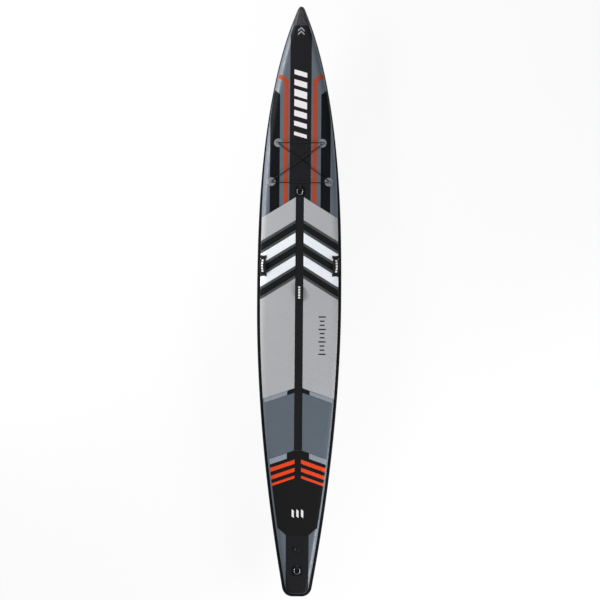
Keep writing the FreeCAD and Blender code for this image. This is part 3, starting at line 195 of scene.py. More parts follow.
class Finish:
    """A material while it is put together: its shader, its coordinates and the bumps laid over each other."""

    def __init__(self, name, colour, rough, **sockets):
        self.material = bpy.data.materials.new(name)
        self.material.use_nodes = True
        self.tree = self.material.node_tree
        self.shader = self.tree.nodes["Principled BSDF"]
        self.colour = light(*colour)
        self.shader.inputs["Base Color"].default_value = self.colour
        self.shader.inputs["Roughness"].default_value = rough
        for socket, value in sockets.items():
            self.shader.inputs[socket.replace("_", " ")].default_value = value
        self.place = self.add("ShaderNodeTexCoord").outputs["Object"]
        self.normal = None

    def add(self, kind, **settings):
        node = self.tree.nodes.new(kind)
        for name, value in settings.items():
            setattr(node, name, value)
        return node

    def link(self, source, target):
        self.tree.links.new(source, target)

    def turned(self, degrees, stretch=(1, 1, 1)):
        """Coordinates turned about the upright and stretched."""
        node = self.add("ShaderNodeMapping")
        node.inputs["Rotation"].default_value = (0, 0, math.radians(degrees))
        node.inputs["Scale"].default_value = stretch
        self.link(self.place, node.inputs["Vector"])
        return node.outputs["Vector"]

    def noise(self, size, detail, place=None):
        node = self.add("ShaderNodeTexNoise")
        node.inputs["Scale"].default_value = 1 / size
        node.inputs["Detail"].default_value = detail
        self.link(place or self.place, node.inputs["Vector"])
        return node.outputs["Fac"]

    def cells(self, size):
        node = self.add("ShaderNodeTexVoronoi")
        node.inputs["Scale"].default_value = 1 / size
        self.link(self.place, node.inputs["Vector"])
        return node.outputs["Distance"]

    def wave(self, period, place=None, direction="X"):
        """Even bands, from 0 to 1, that repeat every period along one axis."""
        node = self.add("ShaderNodeTexWave", bands_direction=direction)
        node.inputs["Scale"].default_value = math.pi / 10 / period
        self.link(place or self.place, node.inputs["Vector"])
        return node.outputs["Fac"]

    def ranged(self, source, low, high, start=0, end=1):
        node = self.add("ShaderNodeMapRange", interpolation_type="SMOOTHSTEP")
        node.inputs["From Min"].default_value = low
        node.inputs["From Max"].default_value = high
        node.inputs["To Min"].default_value = start
        node.inputs["To Max"].default_value = end
        self.link(source, node.inputs["Value"])
        return node.outputs["Result"]

    def math(self, operation, *sources):
        node = self.add("ShaderNodeMath", operation=operation)
        for source, socket in zip(sources, node.inputs):
            self.link(source, socket)
        return node.outputs[0]

    def bump(self, height, depth, strength):
        node = self.add("ShaderNodeBump")
        node.inputs["Distance"].default_value = depth
        node.inputs["Strength"].default_value = strength
        self.link(height, node.inputs["Height"])
        if self.normal:
            self.link(self.normal, node.inputs["Normal"])
        self.normal = node.outputs["Normal"]
        self.link(self.normal, self.shader.inputs["Normal"])

    def vary(self, source, dark_share, light_share):
        """The base colour drifts between a darker and a lighter one as the source goes from 0 to 1."""
        node = self.add("ShaderNodeMix", data_type="RGBA")
        node.inputs[6].default_value = [channel * dark_share for channel in self.colour[:3]] + [1]
        node.inputs[7].default_value = [min(1, channel * light_share) for channel in self.colour[:3]] + [1]
        self.link(source, node.inputs[0])
        self.link(node.outputs[2], self.shader.inputs["Base Color"])

    def worn(self, size, low, high):
        """Roughness that wanders between two values."""
        self.link(self.ranged(self.noise(size, 4), 0.3, 0.7, low, high), self.shader.inputs["Roughness"])


def coated_fabric(name, colour, rough=0.42, gloss=0.3):
    """Coated drop-stitch fabric: fine weave under the coat, and the faint dimples of the yarns."""
    finish = Finish(name, colour, rough, Specular_IOR_Level=gloss)
    finish.vary(finish.noise(size=0.09, detail=5), 0.93, 1.07)
    finish.worn(size=0.03, low=rough - 0.07, high=rough + 0.08)
    weave = finish.math("MULTIPLY", finish.wave(period=0.0013), finish.wave(period=0.0013, direction="Y"))
    finish.bump(weave, depth=0.0001, strength=0.5)
    finish.bump(finish.cells(size=0.009), depth=0.0004, strength=0.25)
    return finish.material


def foam(name, colour, spread=0.05):
    """EVA foam, matt and soft, with diamond grooves pressed into its top and a fine open grain."""
    finish = Finish(name, colour, 0.86, Specular_IOR_Level=0.1)
    finish.vary(finish.noise(size=0.16, detail=6), 1 - spread, 1 + spread)
    lines = [finish.wave(period=0.012, place=finish.turned(turn)) for turn in (32, -32)]
    grooves = [finish.ranged(line, 0.8, 1) for line in lines]
    finish.bump(finish.math("MAXIMUM", *grooves), depth=-0.0006, strength=0.8)
    finish.bump(finish.noise(size=0.0009, detail=2), depth=0.00018, strength=0.6)
    return finish.material


def moulded(name, colour, rough=0.42, grain=0.0011, depth=0.00012, spread=0.12):
    """Moulded plastic with a fine spark grain and slightly uneven gloss."""
    finish = Finish(name, colour, rough, Specular_IOR_Level=0.3)
    finish.vary(finish.ranged(finish.noise(size=0.013, detail=4), 0.34, 0.66), 1 - spread, 1 + spread)
    finish.worn(size=0.012, low=rough - 0.08, high=rough + 0.1)
    finish.bump(finish.noise(size=grain, detail=2), depth, strength=0.6)
    return finish.material


def soft_rubber(name, colour):
    finish = Finish(name, colour, 0.62, Specular_IOR_Level=0.3)
    finish.vary(finish.noise(size=0.01, detail=4), 0.85, 1.15)
    finish.bump(finish.noise(size=0.0006, detail=2), depth=0.00006, strength=0.5)
    return finish.material


def steel(name, colour, rough=0.26):
    """Stainless steel with fine drawn lines and a few duller spots."""
    finish = Finish(name, colour, rough, Metallic=1.0)
    finish.vary(finish.noise(size=0.008, detail=4), 0.9, 1.05)
    finish.worn(size=0.004, low=rough - 0.08, high=rough + 0.12)
    drawn = finish.noise(size=0.0012, detail=3, place=finish.turned(0, (1, 14, 14)))
    finish.bump(drawn, depth=0.00002, strength=0.5)
    return finish.material


def woven(name, colour, pitch=0.0019):
    """Woven webbing: rows of short floats, every second row shifted."""
    finish = Finish(name, colour, 0.8, Specular_IOR_Level=0.2)
    finish.vary(finish.noise(size=0.004, detail=4), 0.88, 1.12)
    rows = [finish.wave(pitch, finish.turned(turn)) for turn in (45, -45)]
    finish.bump(finish.math("MULTIPLY", *rows), depth=0.0004, strength=0.8)
    finish.bump(finish.noise(size=0.0004, detail=2), depth=0.00008, strength=0.5)
    return finish.material


def braided(name, colour):
    """Braid round an elastic cord."""
    finish = Finish(name, colour, 0.72, Specular_IOR_Level=0.25)
    finish.vary(finish.noise(size=0.003, detail=3), 0.85, 1.2)
    strands = [finish.wave(period=0.0028, place=finish.turned(turn, (1, 1, 1.6))) for turn in (40, -40)]
    finish.bump(finish.math("MAXIMUM", *strands), depth=0.0004, strength=0.8)
    return finish.material


def neoprene(name, colour):
    """Knit face of a padded sleeve."""
    finish = Finish(name, colour, 0.88, Specular_IOR_Level=0.15, Sheen_Weight=0.15)
    finish.vary(finish.noise(size=0.006, detail=5), 0.85, 1.18)
    knit = finish.math("MULTIPLY", finish.wave(period=0.0012), finish.wave(period=0.0016, direction="Y"))
    finish.bump(knit, depth=0.00025, strength=0.7)
    finish.bump(finish.noise(size=0.011, detail=3), depth=0.0006, strength=0.4)
    return finish.material


# Kind, colour and, where they aren't the usual ones, roughness, gloss, grain or spread of every finish.

SLATE = (92, 100, 110)

FINISHES = {
    "hull_skin": (coated_fabric, SLATE, 0.36, 0.5),
    "rail_band": (coated_fabric, (10, 10, 12), 0.6, 0.02),
    "hull_wall": (coated_fabric, SLATE, 0.36, 0.5),
    "black_band": (coated_fabric, (31, 31, 34), 0.55, 0.08),
    "moulded_cap": (moulded, (56, 55, 58), 0.55, 0.0025, 0.0005, 0.45),
    "light_foam": (foam, (175, 175, 177), 0.025),
    "border_foam": (foam, (76, 81, 82)),
    "black_foam": (foam, (25, 25, 26)),
    "white_foam": (foam, (238, 241, 246), 0.015),
    "slate_foam": (foam, (95, 104, 113), 0.03),
    "light_border_foam": (foam, (142, 149, 158)),
    "orange_foam": (foam, (232, 72, 32)),
    "cord_black": (braided, (24, 24, 26)),
    "patch_grey": (coated_fabric, (128, 131, 138)),
    "patch_dark": (coated_fabric, (17, 19, 21), 0.5, 0.07),
    "clamp_black": (moulded, (26, 26, 28)),
    "ring_steel": (steel, (150, 152, 155), 0.36),
    "webbing": (woven, (24, 24, 26)),
    "handle_plastic": (moulded, (22, 22, 24), 0.5),
    "grip_foam": (neoprene, (24, 24, 25)),
    "valve_plastic": (moulded, (21, 22, 24)),
    "seal_rubber": (soft_rubber, (30, 30, 31)),
    "spring_steel": (steel, (176, 178, 182), 0.22),
    "yarn": (woven, (226, 222, 214), 0.0012),
    "fin_plastic": (moulded, (22, 22, 24), 0.3),
    "screw_steel": (steel, (180, 182, 186)),
    "print_black": (coated_fabric, (18, 20, 23), 0.5, 0.07),
    "print_orange": (coated_fabric, (167, 69, 41), 0.5, 0.12),
    "print_white": (coated_fabric, (232, 230, 231), 0.5),
    "print_red": (coated_fabric, (96, 26, 22), 0.5, 0.15),
    "print_grey": (coated_fabric, (150, 150, 153), 0.5),
    "thread": (woven, (60, 60, 62), 0.0006),
}
finishes = {name: kind(name, *rest) for name, (kind, *rest) in FINISHES.items()}
slots = {material["slot"] for material in frame["record"]["materials"]}

# Every piece of the frame gets its slot's finish; the soft and flat ones are replaced further down.

for subpart in frame["record"]["subparts"]:
    node = frame["nodes"][subpart["node"]]
    node.data.materials.clear()
    node.data.materials.append(finishes[subpart["material_slot"]])


# Mesh helpers. Points are in millimetres.


def placed(name, data):
    made = bpy.data.objects.new(name, data)
    bpy.context.scene.collection.objects.link(made)
    return made


def piece(name, points, faces, finish, body="hull", slot=None, replaces=(), sharp=38):
    """New piece of the board: a mesh that rides on a body, or on none, in a given finish."""
    data = bpy.data.meshes.new(name)
    data.from_pydata([Vector(point) * MM for point in points], [], faces)
    shape = bmesh.new()
    shape.from_mesh(data)
    bmesh.ops.recalc_face_normals(shape, faces=shape.faces)
    shape.to_mesh(data)
    shape.free()
    data.polygons.foreach_set("use_smooth", [True] * len(data.polygons))
    data.set_sharp_from_angle(angle=math.radians(sharp))
    made = placed(name, data)
    data.materials.append(finishes[finish])
    if body:
        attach(made, body)
    slot or (finish if finish in slots else "hull_skin")
    if replaces:
        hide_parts(*replaces)
    return made


def grid_faces(rows, columns, first=0, closed=False):
    """Quads of a grid of points stored row after row."""
    faces = []
    for i in range(rows - 1):
        for k in range(columns if closed else columns - 1):
            after = (k + 1) % columns
            faces.append((first + i * columns + k, first + i * columns + after,
                          first + (i + 1) * columns + after, first + (i + 1) * columns + k))
    return faces


def slab(name, top, low, finish, **rest):
    """Closed sheet between two grids of points with the same rows and columns."""
    rows = len(top)
    columns = len(top[0])
    points = [point for row in top for point in row] + [point for row in low for point in row]
    count = rows * columns
    faces = grid_faces(rows, columns) + [face[::-1] for face in grid_faces(rows, columns, count)]
    rim = list(range(columns))
    rim += [i * columns + columns - 1 for i in range(1, rows)]
    rim += [(rows - 1) * columns + k for k in reversed(range(columns - 1))]
    rim += [i * columns for i in reversed(range(1, rows - 1))]
    for k, spot in enumerate(rim):
        after = rim[(k + 1) % len(rim)]
        faces.append((spot, spot + count, after + count, after))
    return piece(name, points, faces, finish, **rest)


def looped(name, *runs, finish, capped=True, **rest):
    """Skin through each run of rings of points, closed at its two ends or round to its start."""
    points = []
    faces = []
    for rings in runs:
        columns = len(rings[0])
        first = len(points)
        last = first + columns * (len(rings) - 1)
        points += [point for ring in rings for point in ring]
        faces += grid_faces(len(rings), columns, first, closed=True)
        if capped:
            faces.append(tuple(range(first, first + columns))[::-1])
            faces.append(tuple(range(last, last + columns)))
        else:
            faces += [(last + k, last + (k + 1) % columns, first + (k + 1) % columns, first + k)
                      for k in range(columns)]
    return piece(name, points, faces, finish, **rest)


def area_sign(outline):
    total = 0
    for (x0, y0), (x1, y1) in zip(outline, outline[1:] + outline[:1]):
        total += x0 * y1 - x1 * y0
    return total


def inset_outline(outline, depth):
    """Outline drawn in by a depth, its corners mitred."""
    made = []
    count = len(outline)
    for i in range(count):
        here = Vector(outline[i])
        before = (here - Vector(outline[i - 1])).normalized()
        after = (Vector(outline[(i + 1) % count]) - here).normalized()
        first = Vector((-before.y, before.x))
        second = Vector((-after.y, after.x))
        made.append(here + (first + second) * (depth / max(0.4, 1 + first.dot(second))))
    return made


def dense(outline, step):
    """Outline with points added so that no side is longer than a step."""
    made = []
    for start, end in zip(outline, outline[1:] + outline[:1]):
        count = max(1, math.ceil(math.dist(start, end) / step))
        made += [(start[0] + (end[0] - start[0]) * i / count, start[1] + (end[1] - start[1]) * i / count)
                 for i in range(count)]
    return made


# Shares of an edge's rounding at which its rings of points lie.

EDGE_SHARES = (0, 0.12, 0.45, 1)


def plan_mesh(outlines, radius, cell):
    """Flat mesh inside closed outlines, cut into cells; its points know how far in from the edge they lie."""
    flat = bmesh.new()
    depth_of = flat.verts.layers.float.new("depth")
    for outline in outlines:
        if area_sign(outline) < 0:
            outline = outline[::-1]
        rings = []
        for share in EDGE_SHARES:
            ring = []
            for x, y in inset_outline(outline, radius * share):
                vert = flat.verts.new((x, y, 0))
                vert[depth_of] = radius * share
                ring.append(vert)
            rings.append(ring)
        count = len(outline)
        for outer, inner in zip(rings, rings[1:]):
            for k in range(count):
                after = (k + 1) % count
                flat.faces.new((outer[k], outer[after], inner[after], inner[k]))
        middle = flat.faces.new(rings[-1])
        middle.normal_update()
        bmesh.ops.triangulate(flat, faces=[middle], ngon_method="EAR_CLIP")
    for axis in (0, 1):
        spots = [vert.co[axis] for vert in flat.verts]
        step = cell[axis]
        for k in range(math.floor(min(spots) / step) + 1, math.ceil(max(spots) / step)):
            centre = Vector((0, 0, 0))
            centre[axis] = k * step
            way = Vector((0, 0, 0))
            way[axis] = 1
            bmesh.ops.bisect_plane(flat, geom=flat.verts[:] + flat.edges[:] + flat.faces[:], dist=0.001,
                                   plane_co=centre, plane_no=way)
    return flat, depth_of


def plan_piece(name, outlines, low, high, finish, radius=1.4, cell=(40, 9), surface=hull_top, under=None,
               **rest):
    """Layer laid on a surface between two lifts, its outline given in plan and its top edge rounded."""
    flat, depth_of = plan_mesh(outlines, radius, cell)
    flat.verts.index_update()
    top = []
    below = []
    for vert in flat.verts:
        short = radius - min(radius, vert[depth_of])
        lift = high - radius + math.sqrt(max(0, radius ** 2 - short ** 2))
        top.append(surface(vert.co.x, vert.co.y, lift))
        below.append(under(vert.co.x, vert.co.y) if under else surface(vert.co.x, vert.co.y, low))
    count = len(top)
    faces = [tuple(vert.index for vert in face.verts) for face in flat.faces]
    faces += [tuple(index + count for index in reversed(face)) for face in faces]
    for edge in flat.edges:
        if edge.is_boundary:
            one, other = (vert.index for vert in edge.verts)
            faces.append((one, other, other + count, one + count))
    flat.free()
    return piece(name, top + below, faces, finish, **rest)


def mirrored(outline):
    return [(x, -y) for x, y in outline]


def disc_plan(x, y, radius, count=48):
    return [(x + radius * math.cos(2 * math.pi * i / count), y + radius * math.sin(2 * math.pi * i / count))
            for i in range(count)]


def rounded_rectangle(x, y, length, width, corner, count=6):
    made = []
    for sx, sy, start in ((1, 1, 0), (-1, 1, 90), (-1, -1, 180), (1, -1, 270)):
        for i in range(count + 1):
            angle = math.radians(start + 90 * i / count)
            made.append((x + sx * (length / 2 - corner) + corner * math.cos(angle),
                         y + sy * (width / 2 - corner) + corner * math.sin(angle)))
    return made


# Hull: deck and bottom sheets, rails, and the black bands round them.


class Station:
    """Place on the widest line, with its outward direction and the rail's half sizes."""

    def __init__(self, x, edge, out):
        self.edge = Vector(edge)
        self.out = Vector(out)
        self.wide = rail_half(x)
        self.middle = (bottom_z(x) + deck_z(x)) / 2
        self.high = (deck_z(x) - bottom_z(x)) / 2
        share = min(max((x - BAND_SLIM_START) / (BAND_SLIM_END - BAND_SLIM_START), 0), 1)
        self.band = BAND_INSET + (BAND_NOSE_INSET - BAND_INSET) * math.sin(share * math.pi / 2)

    def rail(self, angle, offset=0):
        """Point of the rail at an angle from the level, off the hull by an offset."""
        inward = self.wide - (self.wide + offset) * math.cos(angle)
        spot = self.edge - self.out * inward
        return Vector((spot.x, spot.y, self.middle + (self.high + offset) * math.sin(angle)))

    def band_angle(self):
        return math.acos(1 - self.band / self.wide)


NOSE_CROWDING = 1.35


def side_stations(front, count=190):
    """Stations from a front end back to the tail corner, closer together at the nose."""
    made = []
    for i in range(count + 1):
        x = front + (corner_x - front) * (i / count) ** NOSE_CROWDING
        lean = narrowing(x)
        made.append(Station(x, (x, half_width(x)), (-math.sin(lean), math.cos(lean))))
    return made


def tail_stations(count=14):
    """Stations round the port corner and half-way along the transom."""
    lean = narrowing(corner_x)
    made = []
    for i in range(count + 1):
        angle = lean + (math.pi / 2 - lean) * i / count
        out = Vector((-math.sin(angle), math.cos(angle)))
        made.append(Station(corner_x, corner_centre + out * corner_radius, out))
    for share in (0.75, 0.5, 0.25, 0):
        made.append(Station(corner_x, (TAIL, corner_centre.y * share), (-1, 0)))
    return made


def across(point, side):
    return Vector((point.x, side * point.y, point.z))


SIDES = (("left", 1), ("right", -1))
RAIL_STEPS = 26
sides = side_stations(NOSE - CAP_PLUG)
corner = tail_stations()


def hull_sheet(name, level, *nodes):
    """Deck or bottom between the roundings of the rails."""
    top = []
    low = []
    for station in sides + corner[1:]:
        edge = station.rail(level * math.pi / 2)
        top.append([Vector((edge.x, edge.y * share, edge.z)) for share in (1, 0.5, 0, -0.5, -1)])
        low.append([point - Vector((0, 0, level * SKIN)) for point in top[-1]])
    slab(name, top, low, "hull_skin", replaces=nodes)


def rail_shell(name, stations, side, node):
    angles = [math.pi / 2 - math.pi * i / RAIL_STEPS for i in range(RAIL_STEPS + 1)]
    outer = [[across(station.rail(angle), side) for angle in angles] for station in stations]
    inner = [[across(station.rail(angle, -RAIL_WALL), side) for angle in angles] for station in stations]
    slab(name, outer, inner, "hull_wall", replaces=(node,))


def whole_tail():
    """Tail stations from the port corner over the transom to the starboard corner."""
    def flipped(spot):
        return spot.x, -spot.y

    return corner + [Station(corner_x, flipped(station.edge), flipped(station.out))
                     for station in reversed(corner[:-1])]


BAND_SOFT = 1.6
BAND_EDGE = ((0, 0.6), (0.5, 0.93), (1, 1))
BAND_STEPS = 10


def band_profile(station):
    """Cross-section of a rail band: a flat strip with soft edges."""
    edge = station.band_angle()
    soft = BAND_SOFT / station.wide
    lip = [(edge - soft * share, PATCH_TOP * rise) for share, rise in BAND_EDGE]
    top = [((edge - soft) * (1 - 2 * i / BAND_STEPS), PATCH_TOP) for i in range(1, BAND_STEPS)]
    low = [(edge * (2 * i / BAND_STEPS - 1), GLUE) for i in range(1, BAND_STEPS)]
    far_lip = [(-angle, rise) for angle, rise in reversed(lip)]
    return [(edge, GLUE)] + lip + top + far_lip + [(-edge, GLUE)] + low


def rail_band(name, stations, side, node):
    rings = [[across(station.rail(angle, offset), side) for angle, offset in band_profile(station)]
             for station in stations]
    looped(name, rings, finish="rail_band", replaces=(node,))


hull_sheet("deck_sheet", 1, "top_skin", "bow_skin")
hull_sheet("bottom_sheet", -1, "bottom_skin")
for word, side in SIDES:
    rail_shell(f"rail_shell_{word}", sides, side, f"{word}_side_wall")
    rail_band(f"rail_cover_{word}", side_stations(NOSE - CAP_LENGTH - GLUE), side, f"{word}_rail_band")
rail_shell("rail_shell_tail", whole_tail(), 1, "tail_wall")
rail_band("rail_cover_tail", whole_tail(), 1, "tail_rail_band")

# Prints on the deck, ahead of and behind the pads.

HALF_STRIP = 28.5
STRIP_BACK = -1076
GROOVE = 2
PAD_FRONT = 757
FRONT_VEE_SHARE = 0.62
REAR_VEE_SHARE = 0.35
PRINT_LOW = 0.02
PRINT_HIGH = 0.5
PRINT_STEP = 12
STRIP_STEP = 20
PAD_STEP = 16
NOSE_BAND_HALF = 77
NOSE_BAND_LAP = 20
NOSE_BAND_STEP = 15
NOSE_BAND_EDGE = 17
STRIPE_INNER = 88
STRIPE_OUTER = 119
STRIPE_TOP = 1607
STRIPE_TURN = 38
STRIPE_SPOTS = (135, 145, 155, 165, 172, 178, 186)
PANEL_INNER = 149
PANEL_OUTER = 219
PANEL_TOP = 1498
PANEL_TOP_SHARE = 0.8
PANEL_EDGE = 7
PANEL_EDGE_SLOPE = 0.028
STRIPE_EDGE = 10
TAIL_PAD_BACK = -1689
TAIL_PAD_END = 164
TAIL_PAD_CHAMFER = 51
TAIL_BAND_HALF = 83


def vee(front, share, y):
    """Station of a line that falls back from the strip towards the rail."""
    return front - share * (abs(y) - HALF_STRIP)


def printed(name, outlines, finish, cell=(24, 6), surface=hull_top):
    outlines = [dense(outline, PRINT_STEP) for outline in outlines]
    plan_piece(name, outlines, PRINT_LOW, PRINT_HIGH, finish, radius=0.2, cell=cell, surface=surface)


def even_run(start, end, count):
    """Even steps from a start, left out itself, to an end."""
    return [start + (end - start) * i / count for i in range(1, count + 1)]


def foot(y):
    """Point just ahead of the pads' front line."""
    return vee(PAD_FRONT, FRONT_VEE_SHARE, y) + GROOVE, y


def nose_band():
    """Black band down the middle of the nose; at its front it fills the deck from rail to rail."""
    front = NOSE - CAP_LENGTH + NOSE_BAND_LAP
    stations = [front - NOSE_BAND_STEP * i for i in range(28)]
    side = [(x, min(NOSE_BAND_HALF, half_width(x) - NOSE_BAND_EDGE)) for x in stations]
    side += [foot(NOSE_BAND_HALF), (PAD_FRONT + PRINT_HIGH, HALF_STRIP)]
    return side + mirrored(reversed(side))


def climbing(start, inner, share, spots, reach):
    """Points of a line that climbs from an inner edge towards the nose, as far out as its reach."""
    made = [(start + share * (y - inner), y) for y in spots]
    return [(x, y) for x, y in made if y < reach(x)]


def orange_stripe():
    """Stripe beside the nose band, its top turned out to the rail."""
    slope = FRONT_VEE_SHARE
    turn = STRIPE_TOP + slope * (STRIPE_OUTER - STRIPE_INNER) - STRIPE_TURN

    def reach(x):
        return half_width(x) - STRIPE_EDGE

    top = climbing(STRIPE_TOP, STRIPE_INNER, slope, (120,) + STRIPE_SPOTS, reach)
    low = climbing(turn, STRIPE_OUTER, slope, STRIPE_SPOTS, reach)
    return ([foot(STRIPE_INNER), (STRIPE_TOP, STRIPE_INNER)] + top
            + low[::-1] + [(turn, STRIPE_OUTER), foot(STRIPE_OUTER)])


def nose_panel():
    """Black panel along the rail, its top slanted and its foot cut by the pads' front line."""
    def reach(x):
        return min(PANEL_OUTER, half_width(x) - PANEL_EDGE - PANEL_EDGE_SLOPE * (PANEL_TOP - x))

    outline = [foot(PANEL_INNER), (PANEL_TOP, PANEL_INNER)]
    outline += climbing(PANEL_TOP, PANEL_INNER, PANEL_TOP_SHARE, range(155, 195, 5), reach)
    start = outline[-1][0]
    end = foot(PANEL_OUTER)[0]
    return outline + [(x, reach(x)) for x in even_run(start, end, 30)]


def tail_band():
    """Black band between the tail pad and the transom."""
    front = TAIL_PAD_BACK + PRINT_HIGH
    radius = corner_radius - BAND_INSET - GROOVE
    side = [(front, TAIL_BAND_HALF)]
    for degrees in range(90, -1, -6):
        angle = math.radians(degrees)
        y = corner_centre.y + radius * math.sin(angle)
        if y < TAIL_BAND_HALF:
            side.append((corner_centre.x - radius * math.cos(angle), y))
    return side + mirrored(reversed(side))


def slanted_bar(x, y, length, width, lean):
    """Bar across the board whose ends lean along it."""
    return [(x - length / 2 - lean / 2, y - width / 2), (x + length / 2 - lean / 2, y - width / 2),
            (x + length / 2 + lean / 2, y + width / 2), (x - length / 2 + lean / 2, y + width / 2)]


stripe = orange_stripe()
panel_print = nose_panel()
printed("nose_band_print", [nose_band()], "black_band", cell=(8, 5))
printed("orange_stripe_prints", [stripe, mirrored(stripe)], "print_orange")
printed("nose_panel_prints", [panel_print, mirrored(panel_print)], "print_black")
printed("tail_band_print", [tail_band()], "black_band", cell=(5, 5))


def raised(lift):
    """Surface over the hull at a fixed height."""
    def place(x, y, more):
        return hull_top(x, y, lift + more)
    return place


MARK_FRONT = 1650
MARK_PITCH = 74
MARK_EDGE = 3
MARK_WIDTH = 92
MARK_LEAN = 26
mark_lengths = (34, 42, 50, 50, 42, 34, 26)
bars = [slanted_bar(MARK_FRONT - MARK_PITCH * i, 0, length, MARK_WIDTH, MARK_LEAN)
        for i, length in enumerate(mark_lengths)]
edges = [[(point.x, point.y) for point in inset_outline(bar, -MARK_EDGE)] for bar in bars]
printed("nose_bar_edges", edges, "print_red", surface=raised(PRINT_HIGH))
printed("nose_bar_prints", bars, "print_white", surface=raised(2 * PRINT_HIGH))

# Centre strip and foam pads.

strip = [(PAD_FRONT, HALF_STRIP), (STRIP_BACK, HALF_STRIP)]
strip += mirrored(reversed(strip))
plan_piece("deck_strip", [dense(strip, STRIP_STEP)], GLUE, PATCH_TOP, "black_band", radius=0.5, cell=(40, 14),
           replaces=("deck_stringer",))

PAD_LOW = GLUE
PAD_HIGH = GLUE + 5
PAD_INNER = HALF_STRIP + GROOVE / 2
FRONT_INSET = 24
REAR_INSET = 34
NOTCH_MIDDLE = 258
NOTCH_LENGTH = 172
NOTCH_INSET = 78
NOTCH_CORNER = 12


def rail_line(x, inset):
    """Half the width left at a station by an inset from the widest line."""
    return half_width(x) - inset / math.cos(narrowing(x))


def rail_corner(line, share, reach):
    """Station at which a line that falls back from the middle meets the panels' outer edge."""
    x = line
    for _ in range(12):
        x = vee(line, share, reach(x))
    return x


def vee_panel(front, back, inner, inset, front_share, back_share, outer=WIDTH):
    """Plan of a panel between two lines that fall back from the middle; its outer edge follows the rail."""
    def reach(x):
        return min(outer, rail_line(x, inset))

    front -= GROOVE / 2
    back += GROOVE / 2
    start = rail_corner(front, front_share, reach)
    end = rail_corner(back, back_share, reach)
    rail = [start] + even_run(start, end, max(2, math.ceil(abs(start - end) / 25)))
    return ([(vee(front, front_share, inner), inner)] + [(x, reach(x)) for x in rail]
            + [(vee(back, back_share, inner), inner)])


def notch_plan():
    """Room for a side handle, cut into the pads from the rail."""
    half = NOTCH_LENGTH / 2
    edge = half_width(NOTCH_MIDDLE) - NOTCH_INSET
    far = WIDTH / 2 + RAIL_DEPTH
    corners = []
    for sign, first in ((1, 0), (-1, 90)):
        for i in range(5):
            angle = math.radians(first + 90 * i / 4)
            corners.append((NOTCH_MIDDLE + sign * (half - NOTCH_CORNER) + NOTCH_CORNER * math.cos(angle),
                            edge + NOTCH_CORNER - NOTCH_CORNER * math.sin(angle)))
    return [(NOTCH_MIDDLE + half, far)] + corners + [(NOTCH_MIDDLE - half, far)]


def cut_plan(outline, cutter):
    """Outlines that are left of a plan once another is cut out of it."""
    def flat_object(name, points, low, high):
        data = bpy.data.meshes.new(name)
        count = len(points)
        verts = [(x * MM, y * MM, low) for x, y in points] + [(x * MM, y * MM, high) for x, y in points]
        faces = [tuple(range(count))[::-1], tuple(range(count, 2 * count))]
        faces += [(k, (k + 1) % count, (k + 1) % count + count, k + count) for k in range(count)]
        data.from_pydata(verts, [], faces)
        return placed(name, data)

    thick = 0.01
    body = flat_object("plan_body", outline, 0, thick)
    tool = flat_object("plan_tool", cutter, -thick, 2 * thick)
    cut = body.modifiers.new("cut", "BOOLEAN")
    cut.object = tool
    cut.operation = "DIFFERENCE"
    cut.solver = "EXACT"
    result = body.evaluated_get(bpy.context.evaluated_depsgraph_get()).to_mesh()
    shape = bmesh.new()
    shape.from_mesh(result)
    bmesh.ops.dissolve_limit(shape, angle_limit=0.01, verts=shape.verts, edges=shape.edges)
    tops = [face for face in shape.faces if face.normal.z > 0.9]
    outlines = [[(vert.co.x / MM, vert.co.y / MM) for vert in face.verts] for face in tops]
    shape.free()
    for extra in (body, tool):
        bpy.data.objects.remove(extra)
    return outlines


def crosses_notch(outline):
    """Whether an outline reaches the room of the side handle."""
    half = NOTCH_LENGTH / 2
    xs = [x for x, y in outline if y > half_width(NOTCH_MIDDLE) - NOTCH_INSET]
    return bool(xs) and min(xs) < NOTCH_MIDDLE + half and max(xs) > NOTCH_MIDDLE - half


notch = notch_plan()


def foam_piece(name, outlines, finish, node):
    outlines = [dense(outline, PAD_STEP) for outline in outlines]
    plan_piece(name, outlines, PAD_LOW, PAD_HIGH, finish, replaces=(node,))


def pad_piece(name, plans, finish, node):
    """Foam panels on both sides, given for the port side."""
    outlines = []
    for plan in plans:
        outlines += cut_plan(plan, notch) if crosses_notch(plan) else [plan]
    foam_piece(name, outlines + [mirrored(outline) for outline in outlines], finish, node)


def split_piece(name, plans, finish, node):
    """Foam panels as a piece for each side, given for the port side."""
    foam_piece(f"{name}_left", plans, finish, f"{node}_left")
    foam_piece(f"{name}_right", [mirrored(plan) for plan in plans], finish, f"{node}_right")


BANDS_FRONT = 590
band_order = ("border", "black", "border", "white", "border", "black", "border", "white", "border", "black",
              "border")
band_lengths = {"border": 20, "black": 50, "white": 75}
bands_back = BANDS_FRONT - sum(band_lengths[word] for word in band_order)
LIGHT_BACK = -627
SLATE_BACK = -1078
UPPER_BORDER = 32
LOWER_BORDER = 42
TAB_REACH = 80
upper_back = LIGHT_BACK - UPPER_BORDER
lower_back = SLATE_BACK - LOWER_BORDER
half_groove = GROOVE / 2


def rear_panel(front, back, inner, outer=WIDTH):
    return vee_panel(front, back, inner, REAR_INSET, REAR_VEE_SHARE, REAR_VEE_SHARE, outer)


